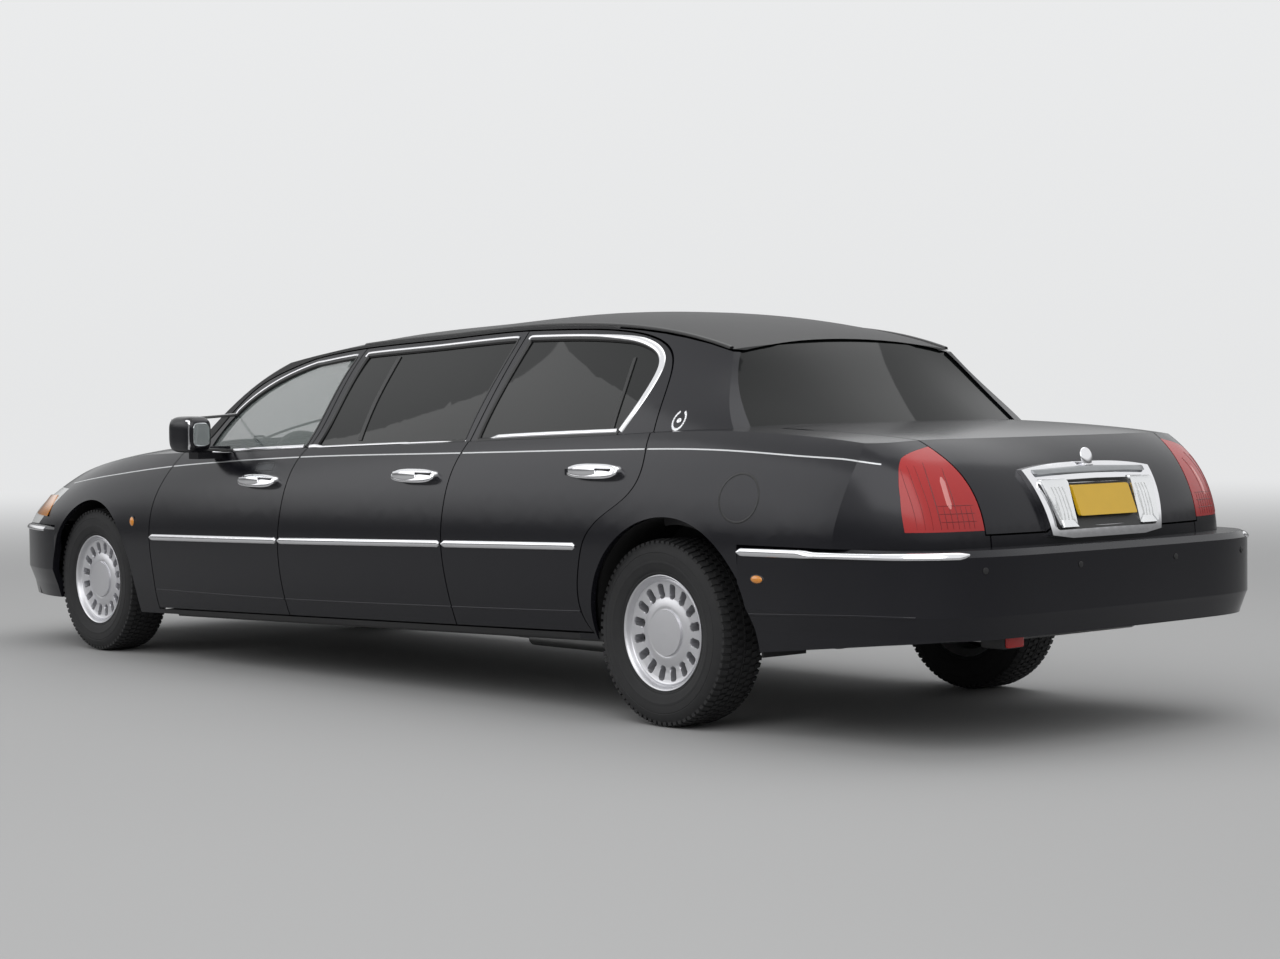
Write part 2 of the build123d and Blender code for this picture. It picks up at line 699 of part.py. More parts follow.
def windscreen_cutter(grow):
    """The windscreen seen from the front."""
    side = [(776 + grow, 1006 - grow), (724 + grow, 1120), (662 + grow, 1250), (596 + grow, 1384 + grow)]
    head = [side[-1], (300, 1436 + grow), (0, 1450 + grow), (-300, 1436 + grow), (-side[-1][0], side[-1][1])]
    right = [(-y, z) for y, z in reversed(side)]
    return end_cutter([side, head, right, [right[-1], side[0]]], front(-1750), front(-400))


def make_roof(roof_wall):
    """Roof skin with its drip rails and both windscreen pillars."""
    drip = [(x, drip_z(x) + 0) for x in (-640, -400, -200, -60, 60, 180, 300, 440, 560)]
    profile = drip + [(600, 1100), (front(-1200), 1000), (front(-640), 940), (front(-500), 1700), (-900, 1700), (-900, drip_z(-640))]
    shape = roof_wall & sheared_box(profile, -1000, 1000)
    shape -= windscreen_cutter(0.0)
    shape -= rear_window_cutter(0.0)
    for i in range(3):
        cut = door_cutter(i, DOOR_GAP)
        shape -= cut
        shape -= mirror(cut, Plane.XZ)
    return biggest(shape)


def make_hood(skin):
    shape = skin & hood_cutter(0.0)
    return biggest(shape - box((front(500), front(1200)), (-900, 900), (600, GRILLE_TOP + 7)))


def make_lid(hull_outer, hull_inner):
    return biggest((hull_outer & lid_cutter(LID_EASE)) - hull_inner)


def make_cowl(skin, cabin_block, under_skin):
    """The panel between bonnet and windscreen, with the deck behind it."""
    shape = skin & box((front(-930), HOOD_REAR_X - PANEL_GAP), (-COWL_HALF + 0.3, COWL_HALF - 0.3), (800, 1200))
    shape -= door_cutter(0, DOOR_GAP)
    shape -= mirror(door_cutter(0, DOOR_GAP), Plane.XZ)
    lug = box((HOOD_REAR_X - 60, HOOD_REAR_X + 25), (560, 600), (930, 1200)) & under_skin
    return biggest(shape - cabin_block + lug + mirror(lug, Plane.XZ))


def make_rear_deck(skin, cabin_block):
    """The panel between the rear window and the boot lid."""
    shape = skin & box((LID_FRONT_X + PANEL_GAP + 1, -100), (-DECK_HALF + 0.3, DECK_HALF - 0.3), (800, 1200))
    return biggest(shape - cabin_block)


def make_rear_panel(hull_outer, hull_inner):
    """The panel under the boot lid's lip, closing the back of the boot above the floor."""
    high = box((-1400, -1150), (-REAR_PANEL_HALF, REAR_PANEL_HALF), (BOOT_FLOOR, LID_BOTTOM - PANEL_GAP - 1))
    low = box((-1400, -1150), (-860, 860), (BOOT_FLOOR, BUMPER_TOP_REAR - SEAM_CLEARANCE))
    return biggest((hull_outer - hull_inner) & (high + low))


def make_rear_bumper(hull_grown):
    shape = bumper_block(REAR_BUMPER_PLAN, BUMPER_TOP_REAR, 0)
    hollow = bumper_block(REAR_BUMPER_PLAN, BUMPER_TOP_REAR, BUMPER_SKIN)
    shape -= hollow & box((-1500, 0), (-1100, 1100), (100, BUMPER_TOP_REAR - 24))
    shape -= hull_grown & box((-1500, -1000), (-885, 885), (400, 900))
    shape -= box((-1100, 0), (-880, 880), (100, 900))
    underside = [(-300, 0), (-300, 290), (-1121, 374), (-1300, 390), (-1600, 396), (-1600, 0)]
    shape -= sheared_box(underside, -1100, 1100)
    shape -= arch_cut(ARCH_REAR)
    shape -= mirror(arch_cut(ARCH_REAR), Plane.XZ)
    return biggest(shape)


def make_front_bumper(hull_grown):
    shape = bumper_block(FRONT_BUMPER_PLAN, BUMPER_TOP_FRONT, 0)
    hollow = bumper_block(FRONT_BUMPER_PLAN, BUMPER_TOP_FRONT, BUMPER_SKIN)
    shape -= hollow & box((front(0), front(1100)), (-1100, 1100), (100, BUMPER_TOP_FRONT - 24))
    shape -= hull_grown & box((front(500), front(1100)), (-760, 760), (300, 900))
    shape -= box((front(0), front(640)), (-870, 870), (100, 900))
    shape -= box((front(0), front(1200)), (-1100, 1100), (0, 245))
    shape -= arch_cut(ARCH_FRONT)
    shape -= mirror(arch_cut(ARCH_FRONT), Plane.XZ)
    return biggest(shape)


def make_grille(lens_wall):
    low = BUMPER_TOP_FRONT + SEAM_CLEARANCE
    block = lens_wall & box((front(700), front(1100)), (-GRILLE_HALF, GRILLE_HALF), (low, GRILLE_TOP))
    pitch = 2 * (GRILLE_HALF - 26) / 18
    for i in range(18):
        y = -GRILLE_HALF + 26 + (i + 0.5) * pitch
        block -= box((front(700), front(1100)), (y - 0.36 * pitch, y + 0.36 * pitch), (low + 26, 764))
    return biggest(block)


# ---------------------------------------------------------------- sub-parts: structure
def floor_top(x):
    return z_rocker(x) + FLOOR_RISE


def sill_strip(outer, inner):
    """The closed sill under the doors, from the outer skin to the inner face."""
    x0, x1 = SILL_REAR, SILL_FRONT
    high, low = DOOR_BOTTOM - DOOR_GAP, -14
    profile = [(x0, z_rocker(x0) + low), (x1, z_rocker(x1) + low), (x1, z_rocker(x1) + high), (x0, z_rocker(x0) + high)]
    return (outer - inner) & sheared_box(profile, 500, 1100)


def make_cabin_frame(frame_wall, outer, inner, roof_wall):
    """Sills, door pillars, roof rails and roof bows as one ring on each side."""
    left = frame_wall & box((-90, front(-668)), (0, 1200), (150, 1700))
    left -= barrel(WELL_REAR[0], WELL_REAR[1], WELL_REAR[2] + 26, 500, 1100)
    left -= box((-200, 100), (-10, 1200), (100, 900))
    left -= roof_wall
    left -= windscreen_cutter(14)
    left -= rear_window_cutter(14)
    for i in range(3):
        left -= door_cutter(i, -62)
    middle = box((-300, front(-500)), (-10, 470), (1150, 1700))
    for x in (420, 1180, front(-1960), front(-1640)):
        middle -= box((x - 45, x + 45), (-20, 500), (1100, 1800))
    left -= middle
    left -= box((-300, front(-500)), (-10, 470), (100, 1150))
    profile = [(-200, z_rocker(-200) - 16), (5000, z_rocker(5000) - 16), (5000, -400), (-200, -400)]
    left -= sheared_box(profile, -20, 1200)
    left = biggest(left + biggest(sill_strip(outer, inner)))
    return biggest(left + mirror(left, Plane.XZ))


def make_floor(frame, hull_inside):
    """Floor, tunnel, rear kick-up, boot floor and the four wheel housings."""
    t = FLOOR_SHEET
    x_heel, x_fire = 640.0, front(-780)
    tunnel_top, tunnel_half = 450.0, 140.0
    top = [(front(-640), 560), (x_fire, floor_top(x_fire)), (x_heel, floor_top(x_heel)), (430, 590), (-400, 590),
           (-520, BOOT_FLOOR), (-1285, BOOT_FLOOR)]
    under = [(-1285, BOOT_FLOOR - t), (-528, BOOT_FLOOR - t), (-408, 590 - t), (424, 590 - t), (x_heel - 24, floor_top(x_heel) - t),
             (x_fire + 16, floor_top(x_fire) - t), (front(-624), 560)]
    sheet = sheared_box(top + under, -860, 860)
    ahead = front(-640)
    tunnel = sheared_box([(ahead, 200), (ahead, 560), (front(-800), tunnel_top), (400, tunnel_top + 60), (400, 200)],
                         -tunnel_half, tunnel_half)
    hollow = sheared_box([(ahead + 140, 100), (ahead + 140, 660), (ahead, 548), (front(-800), tunnel_top - t),
                          (388, tunnel_top + 60 - t), (388, 100)], t - tunnel_half, tunnel_half - t)
    cover = sheared_box([(ahead, 560), (x_fire, floor_top(x_fire) - t), (x_heel, floor_top(x_heel) - t), (430, 590 - t),
                         (430, 900), (ahead, 900)], -200, 200)
    sheet = sheet - (tunnel & hollow) + ((tunnel - hollow) & cover)
    for well, y_inner in ((WELL_REAR, WELL_INNER_REAR), (WELL_FRONT, WELL_INNER_FRONT)):
        x, z, radius = well
        outer = barrel(x, z, radius + WELL_SHEET, y_inner, WELL_OUTER)
        inner = barrel(x, z, radius, y_inner + WELL_SHEET, WELL_OUTER + 50)
        sheet -= outer + mirror(outer, Plane.XZ)
        shell = (outer - inner) & box((x - 600, x + 600), (0, 1200), (z - 60, z + 600))
        sheet += shell + mirror(shell, Plane.XZ)
    apron = box((ahead + 14.5, front(560)), (WELL_INNER_FRONT, WELL_INNER_FRONT + WELL_SHEET), (404, 770))
    apron -= barrel(WELL_FRONT[0], WELL_FRONT[1], WELL_FRONT[2], 400, 600)
    sheet += apron + mirror(apron, Plane.XZ)
    sheet &= hull_inside
    nose = box((front(300), front(700)), (820, 1200), (0, 700))
    sheet -= nose + mirror(nose, Plane.XZ)
    arms = box((FRONT_AXLE - 60, FRONT_AXLE + 60), (-640, 640), (150, 520))
    sheet -= arms + barrel(0, HUB_HEIGHT, 60, -700, 700)
    for i in (0, 2):
        edge = door_cutter(i, 14) & box((-200, front(0)), (845, 1200), (0, 1200))
        sheet -= edge + mirror(edge, Plane.XZ)
    sheet -= frame
    return Compound([solid for solid in sheet.solids() if solid.volume > 20000])


def make_firewall():
    x = front(-640)
    plate = box((x + 0.3, x + 14), (-820, 820), (561, 930))
    return plate


def rail_profile():
    mid, ahead = 338.0, 400.0
    top = [(-1240, 465), (-522, 465), (-402, 575), (330, 575), (580, mid), (front(-580), 245), (front(-400), ahead), (front(720), ahead)]
    depths = [95, 95, 95, 95, 56, 56, 95, 95]
    under = [(x, z - depth) for (x, z), depth in zip(top, depths)]
    return top + under[::-1]


def make_frame_rails():
    """Two side rails with cross members, kicked up over the rear axle."""
    rails = sheared_box(rail_profile(), RAIL_Y - RAIL_WIDTH / 2, RAIL_Y + RAIL_WIDTH / 2)
    rails = rails + mirror(rails, Plane.XZ)
    for x, z in ((-1200, 420), (-330, 520), (front(560), 350)):
        rails += box((x - 30, x + 30), (-RAIL_Y, RAIL_Y), (z - 30, z + 30))
    for x in (1000, 2000, front(-1700)):
        z = floor_top(x) - FLOOR_SHEET - 26
        rails += box((x - 35, x + 35), (-RAIL_Y, RAIL_Y), (z - 36, z))
    return rails


# ---------------------------------------------------------------- sub-parts: running gear
def revolved(profile, y):
    """A solid turned about the wheel's axle line, from (radius, y) points, moved to y."""
    points = [Vector(r, w, 0) for r, w in profile]
    face = Face(Wire.make_polygon(points, close=True))
    return Pos(0, y, 0) * Solid.revolve(face, 360, Axis.Y)


def make_tyre():
    half, r = TYRE_WIDTH / 2, TYRE_RADIUS
    bead, seat = RIM_RADIUS - 12, RIM_WIDTH / 2 - 6
    profile = [
        (bead, -seat), (bead + 20, -half + 6), (bead + 62, -half), (r - 44, -half + 4), (r - 12, -half + 18), (r, -half + 40),
        (r, half - 40), (r - 12, half - 18), (r - 44, half - 4), (bead + 62, half), (bead + 20, half - 6), (bead, seat),
    ]
    return revolved(profile, 0)


def make_rim():
    """An alloy wheel with radial slots; its face is on the +Y side."""
    half, r = RIM_WIDTH / 2, RIM_RADIUS
    seat = RIM_WIDTH / 2 - 6
    barrel_ring = revolved([(r - 26, -half), (r - 12.3, -half), (r - 12.3, half - 2), (r - 6, half), (r - 20, half), (r - 26, half - 14)], 0)
    face = revolved([(SHAFT + SHAFT_CLEARANCE, 20), (r - 20, 34), (r - 20, 60), (r * 0.6, 76), (SHAFT + SHAFT_CLEARANCE, 76)], 0)
    hub = revolved([(SHAFT + SHAFT_CLEARANCE, -56), (72, -56), (72, 40), (SHAFT + SHAFT_CLEARANCE, 40)], 0)
    disc = revolved([(60, -56), (125, -56), (125, -32), (60, -32)], 0)
    wheel = barrel_ring + face + hub + disc
    inner, outer = 0.61 * r, 0.86 * r
    for i in range(SPOKES):
        slot = Pos((inner + outer) / 2, 40, 0) * Box(outer - inner, 120, 24)
        slot = Rot(0, 360 / SPOKES * i, 0) * slot
        wheel -= slot & box((-400, 400), (-10, 120), (-400, 400))
    return biggest(wheel)


def wheel_places():
    rear, ahead = TRACK_REAR / 2, TRACK_FRONT / 2
    return {
        "rear_left": (0.0, rear, 1), "rear_right": (0.0, -rear, -1),
        "front_left": (FRONT_AXLE, ahead, 1), "front_right": (FRONT_AXLE, -ahead, -1),
    }


def placed(shape, x, y, side):
    shape = shape if side > 0 else mirror(shape, Plane.XZ)
    return Pos(x, y, HUB_HEIGHT) * shape


def make_rear_axle():
    """Live axle: housing, differential, hub shafts and the links that hold it."""
    z = HUB_HEIGHT
    half = TRACK_REAR / 2
    axle = barrel(0, z, 42, -half + 90, half - 90) + barrel(0, z, SHAFT, -half - 60, half + 60)
    axle += Pos(0, 0, z) * Sphere(128)
    axle += Pos(95, 0, z) * Rot(0, 90, 0) * Cylinder(60, 120)
    for y in (RAIL_Y + 60, -RAIL_Y - 60):
        axle += box((-20, 420), (y - 22, y + 22), (z - 90, z - 50)) + box((-26, 26), (y - 26, y + 26), (z - 90, z + 20))
        y2 = y - 60 if y > 0 else y + 60
        axle += Pos(60, y2, z + 66) * Cylinder(48, 120)
        axle += box((20, 100), (y2 - 40, y2 + 40), (z - 10, z + 20))
        axle += box((360, 420), (min(y, y2) - 10, max(y, y2) + 10), (z - 90, z - 40))
    return biggest(axle)


def make_front_suspension(rails):
    """Cross member, lower and upper arms and spring cups on both sides."""
    z, x = HUB_HEIGHT, FRONT_AXLE
    beam = box((x - 60, x + 60), (-RAIL_Y - 30, RAIL_Y + 30), (z - 150, z - 60))
    shape = beam
    for side in (1, -1):
        y0, y1 = RAIL_Y, STEER_PIVOT_Y - 4
        lower = box((x - 26, x + 26), (y0, y1 - 70), (z - 160, z - 132)) + box((x - 24, x + 24), (y1 - 80, y1 + 4), (z - 160, z - 132))
        upper = box((x - 22, x + 22), (y0, y1 + 16), (z + 132, z + 152))
        post = box((x - 40, x + 40), (y0 - 28, y0 + 30), (z - 100, z + 152))
        arm = lower + upper + post
        shape += arm if side > 0 else mirror(arm, Plane.XZ)
    return biggest(shape - rails)


def make_knuckle():
    """The left steering knuckle: an upright between the arms with the stub axle."""
    z, x = HUB_HEIGHT, FRONT_AXLE
    upright = box((x - 24, x + 24), (STEER_PIVOT_Y - 24, STEER_PIVOT_Y + 1), (z - 131.6, z + 131.6))
    stub = barrel(x, z, SHAFT, STEER_PIVOT_Y - 20, TRACK_FRONT / 2 + 60)
    plate = barrel(x, z, 66, STEER_PIVOT_Y - 24, STEER_PIVOT_Y - 1)
    return upright + stub + plate


def make_propshaft():
    x0, x1 = 155.5, front(-330.3)
    return Pos((x0 + x1) / 2, 0, HUB_HEIGHT) * Rot(0, 90, 0) * Cylinder(38, x1 - x0)


TAILPIPE_END = 640.0
TANK_BOTTOM = 346.0


def make_exhaust():
    """Twin pipes with silencers under the floor, ended ahead of the rear axle."""
    shape = None
    for y in (250, -250):
        pipe = box((TAILPIPE_END, front(-300)), (y - 26, y + 26), (178, 230))
        pipe = fillet(pipe.edges().filter_by(Axis.X), 22)
        silencer = box((900, 1500), (y - 100, y + 100), (160, 256))
        silencer = fillet(silencer.edges().filter_by(Axis.X), 36)
        hanger = box((1180, 1210), (y - 8, y + 8), (250, floor_top(1210) - FLOOR_SHEET - 2 * SEAM_CLEARANCE))
        part = pipe + silencer + hanger
        shape = part if shape is None else Compound(shape.solids() + part.solids())
    return shape


def make_fuel_tank():
    tank = box((-1150, -600), (-390, 390), (TANK_BOTTOM, BOOT_FLOOR - FLOOR_SHEET - 0.3))
    return fillet(tank.edges().filter_by(Axis.Y), 30)


def make_engine():
    """Engine and gearbox as one plain block at its real place and size."""
    x0 = front(-330)
    block = box((x0, front(360)), (-290, 290), (HUB_HEIGHT - 59.7, 800))
    gearbox = box((front(-600), x0), (-110, 110), (HUB_HEIGHT + 46, 540))
    return block + gearbox


# ---------------------------------------------------------------- sub-parts: cabin
def seat(x, y_half, y_mid, back_height):
    """A cushion and a leaning backrest whose rear foot is at x."""
    low = floor_top(x + 40) + SEAM_CLEARANCE
    cushion = box((x, x + 560), (y_mid - y_half, y_mid + y_half), (low, low + 260))
    cushion = fillet(cushion.edges().filter_by(Axis.Y), 40)
    back = sheared_box([(x - 10, low + 40), (x + 150, low + 40), (x - 20, low + back_height), (x - 140, low + back_height)],
                       y_mid - y_half, y_mid + y_half)
    back = fillet(back.edges().filter_by(Axis.Y), 26)
    return cushion + back


def make_front_seats():
    x = front(-1890)
    left = seat(x, 250, 400, 800)
    return Compound(left.solids() + mirror(left, Plane.XZ).solids())


def bench(x, base, back_height):
    cushion = box((x, x + 540), (-640, 640), (base, base + 200))
    cushion = fillet(cushion.edges().filter_by(Axis.Y), 40)
    back = sheared_box([(x - 10, base + 20), (x + 150, base + 20), (x - 10, base + back_height), (x - 130, base + back_height)], -640, 640)
    back = fillet(back.edges().filter_by(Axis.Y), 26)
    return cushion + back


def make_middle_seat():
    shape = bench(1290, BENCH_BASE, 640)
    for x, y in ((1400, 400), (1720, 400)):
        foot = box((x - 20, x + 20), (y - 20, y + 20), (floor_top(x - 20) + SEAM_CLEARANCE, BENCH_BASE + 20))
        shape += foot + mirror(foot, Plane.XZ)
    return shape


def make_rear_seat():
    """Rear bench on the kick-up of the floor."""
    cushion = box((70, 600), (-560, 560), (590.3, 720))
    cushion = fillet(cushion.edges().filter_by(Axis.Y), 12)
    back = sheared_box([(40, 680), (180, 680), (60, 1130), (-70, 1130)], -560, 560)
    return cushion + back


def make_dashboard():
    """Dashboard with its instrument hood."""
    profile = [(front(-640), 640), (front(-640), 865), (front(-760), 900), (front(-900), 908), (front(-960), 880),
               (front(-960), 790), (front(-900), 640)]
    return sheared_box(profile, -690, 690)


def make_steering_wheel(dashboard):
    wheel = Torus(188, 15) + Cylinder(48, 40)
    for angle in (0, 120, 240):
        wheel += Rot(0, 0, angle + 90) * Pos(95, 0, 0) * Box(190, 30, 12)
    column = Pos(0, 0, -110) * Cylinder(26, 200)
    wheel = wheel + column
    return biggest(Pos(front(-1140), 400, 890) * Rot(0, -62, 0) * wheel - dashboard)


def make_bulkhead():
    """Panel behind the rear seat with the parcel shelf."""
    plate = box((-96, -80), (-560, 560), (590.3, 1050))
    shelf = box((-330, -80), (-560, 560), (1036, 1050))
    return plate + shelf


# ---------------------------------------------------------------- sub-parts: glass and plate
def make_door_glass(index, band):
    return biggest(band & window_cutter(index, SEAM_CLEARANCE))


def make_plate_frame(hull_grown):
    """The bright surround with the plate and the reversing lamps on the boot lid."""
    runs_side = [(349, 950), (340, 900), (300, 725)]
    left = list(runs_side)
    right = [(-y, z) for y, z in reversed(left)]
    outline = [[left[0], left[-1]], [left[-1], (200, 712)], [(200, 712), (-200, 712)], [(-200, 712), right[0]], [right[0], right[-1]],
               [right[-1], (-180, 968), (0, 972), (180, 968), left[0]]]
    region = end_cutter(outline, -1400, -1150)
    slab = (hull(-26) - hull_grown) & region
    window = end_cutter([[(300, 900), (262, 752)], [(262, 752), (-262, 752)], [(-262, 752), (-300, 900)], [(-300, 900), (300, 900)]], -1400, -1150)
    recess = (hull(-30) - hull(-12)) & window
    return biggest(slab - recess)


# ---------------------------------------------------------------- assembly
def both(left_shape, name, parts, joined=False):
    right = mirror(left_shape, Plane.XZ)
    if joined:
        parts[name] = Compound(left_shape.solids() + right.solids())
    else:
        parts[f"{name}_left"] = left_shape
        parts[f"{name}_right"] = right


def build():
    parts = {}
    depths = (0, PANEL, LENS_DEPTH, DOOR_THICKNESS, DOOR_THICKNESS + FRAME_GAP, DOOR_THICKNESS + FRAME_GAP + FRAME_THICKNESS)
    low = {d: hull(d) for d in depths}
    frame_out = UPPER_THICKNESS + FRAME_GAP
    tops = {d: greenhouse(d) for d in (0, UPPER_THICKNESS, frame_out - SEAM_CLEARANCE, frame_out, frame_out + FRAME_THICKNESS,
                                       GLASS_INSET, GLASS_INSET + GLASS)}
    hull_grown = hull(-SEAM_CLEARANCE)
    skin = low[0] - low[PANEL]
    lens_wall = low[0] - low[LENS_DEPTH]
    doors_wall = (low[0] + tops[0]) - (low[DOOR_THICKNESS] + tops[UPPER_THICKNESS])
    roof_wall = tops[0] - tops[frame_out - SEAM_CLEARANCE]
    inner_low, inner_low2 = low[depths[4]], low[depths[5]]
    frame_wall = (inner_low + tops[frame_out]) - (inner_low2 + tops[frame_out + FRAME_THICKNESS])
    glass_band = tops[GLASS_INSET] - tops[GLASS_INSET + GLASS]
    cabin_block = tops[0]

    frame = make_cabin_frame(frame_wall, low[0], inner_low2, roof_wall)
    parts["cabin_frame"] = frame
    parts["roof"] = make_roof(roof_wall)
    both(make_fender(skin, cabin_block), "fender", parts)
    both(make_quarter(skin, roof_wall, cabin_block), "quarter", parts)
    parts["cowl"] = make_cowl(skin, cabin_block, hull(PANEL + SEAM_CLEARANCE))
    parts["rear_deck"] = make_rear_deck(skin, cabin_block)
    parts["rear_panel"] = make_rear_panel(low[0], low[PANEL])
    parts["hood"] = make_hood(skin)
    parts["trunk_lid"] = make_lid(low[0], low[PANEL])
    parts["rear_bumper"] = make_rear_bumper(hull_grown)
    parts["front_bumper"] = make_front_bumper(hull_grown)
    parts["grille"] = make_grille(lens_wall)
    both(biggest(lens_wall & front_lamp_region(0)), "headlamps", parts, True)
    both(biggest(lens_wall & rear_lamp_region(0)), "tail_lamps", parts, True)
    parts["windscreen"] = biggest(glass_band & windscreen_cutter(-SEAM_CLEARANCE))
    parts["rear_window"] = biggest(glass_band & rear_window_cutter(-SEAM_CLEARANCE))
    parts["plate_frame"] = make_plate_frame(hull_grown)

    doors = make_doors(doors_wall)
    handle_places = {"front": (front(-1546), 862), "middle": (1472, 904), "rear": (354, 937)}
    for i, name in enumerate(("front", "middle", "rear")):
        door = doors[name] + handle(*handle_places[name])
        if name == "front":
            door += make_mirror()
        both(biggest(door), f"door_{name}", parts)
        both(make_door_glass(i, glass_band), f"glass_{name}", parts)

    parts["floor_pan"] = make_floor(frame, low[LENS_DEPTH])
    parts["firewall"] = make_firewall()
    parts["frame_rails"] = make_frame_rails()
    parts["rear_axle"] = make_rear_axle()
    parts["front_suspension"] = make_front_suspension(parts["frame_rails"])
    parts["propshaft"] = make_propshaft()
    parts["exhaust"] = make_exhaust()
    parts["fuel_tank"] = make_fuel_tank()
    parts["engine"] = make_engine()
    parts["front_seats"] = make_front_seats()
    parts["middle_seat"] = make_middle_seat()
    parts["rear_seat"] = make_rear_seat()
    parts["dashboard"] = make_dashboard()
    parts["steering_wheel"] = make_steering_wheel(parts["dashboard"])
    parts["rear_bulkhead"] = make_bulkhead()
    both(make_knuckle(), "knuckle", parts)
    tyre, rim = make_tyre(), make_rim()
    for place, (x, y, side) in wheel_places().items():
        parts[f"tyre_{place}"] = placed(tyre, x, y, side)
        parts[f"rim_{place}"] = placed(rim, x, y, side)
    return parts


def export(parts):
    os.makedirs(OUT, exist_ok=True)
    for name, shape in parts.items():
        moved = [Pos(-MID_X, 0, 0) * solid for solid in shape.solids()]
        whole = moved[0] if len(moved) == 1 else Compound(moved)
        export_step(whole, f"{OUT}/{name}.step")


if __name__ == "__main__":
    export(build())
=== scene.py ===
"""Looks of a six-door stretched saloon, built around its packed construction.

All sizes are metres in the construction's own frame: X forwards, Y to the car's left, Z up.
"""

from __future__ import annotations

import json
import logging
import math
from collections.abc import Callable
from dataclasses import dataclass
from enum import Enum

import bmesh
import bpy
import numpy as np
from mathutils import Matrix, Vector
from mathutils.bvhtree import BVHTree

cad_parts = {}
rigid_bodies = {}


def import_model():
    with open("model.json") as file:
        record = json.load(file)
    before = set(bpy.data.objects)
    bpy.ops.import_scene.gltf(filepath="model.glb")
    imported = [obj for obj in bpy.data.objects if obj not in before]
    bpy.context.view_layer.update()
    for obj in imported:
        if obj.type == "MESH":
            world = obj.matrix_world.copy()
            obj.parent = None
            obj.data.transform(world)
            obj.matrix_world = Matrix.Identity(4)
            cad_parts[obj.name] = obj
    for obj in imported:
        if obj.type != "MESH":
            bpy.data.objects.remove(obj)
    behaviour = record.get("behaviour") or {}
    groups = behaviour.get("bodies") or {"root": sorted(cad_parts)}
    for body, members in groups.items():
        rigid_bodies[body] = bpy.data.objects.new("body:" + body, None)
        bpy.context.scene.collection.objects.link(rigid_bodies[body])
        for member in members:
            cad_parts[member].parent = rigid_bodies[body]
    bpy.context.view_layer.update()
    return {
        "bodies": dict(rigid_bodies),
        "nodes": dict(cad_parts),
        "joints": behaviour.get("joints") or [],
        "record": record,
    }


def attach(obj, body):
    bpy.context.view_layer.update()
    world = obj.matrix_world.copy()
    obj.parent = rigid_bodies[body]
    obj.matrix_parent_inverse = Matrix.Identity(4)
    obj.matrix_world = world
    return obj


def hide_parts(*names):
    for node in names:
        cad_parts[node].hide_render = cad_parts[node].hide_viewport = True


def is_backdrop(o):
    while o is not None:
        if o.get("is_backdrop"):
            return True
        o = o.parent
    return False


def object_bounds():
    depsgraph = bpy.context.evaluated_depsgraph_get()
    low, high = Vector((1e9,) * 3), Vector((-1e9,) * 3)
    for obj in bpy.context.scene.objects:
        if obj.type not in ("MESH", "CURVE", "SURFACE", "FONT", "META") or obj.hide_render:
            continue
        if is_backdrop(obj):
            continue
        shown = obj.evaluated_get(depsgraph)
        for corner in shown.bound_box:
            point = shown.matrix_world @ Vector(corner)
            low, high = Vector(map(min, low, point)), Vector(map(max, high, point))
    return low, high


LOG = logging.getLogger("saloon")
Colour = tuple[float, float, float]
Point = tuple[float, float, float]


class Side(Enum):
    """Which side of the car a piece is on."""

    LEFT = 1
    RIGHT = -1

    @property
    def word(self) -> str:
        """The side's name, as node names end."""
        return self.name.lower()


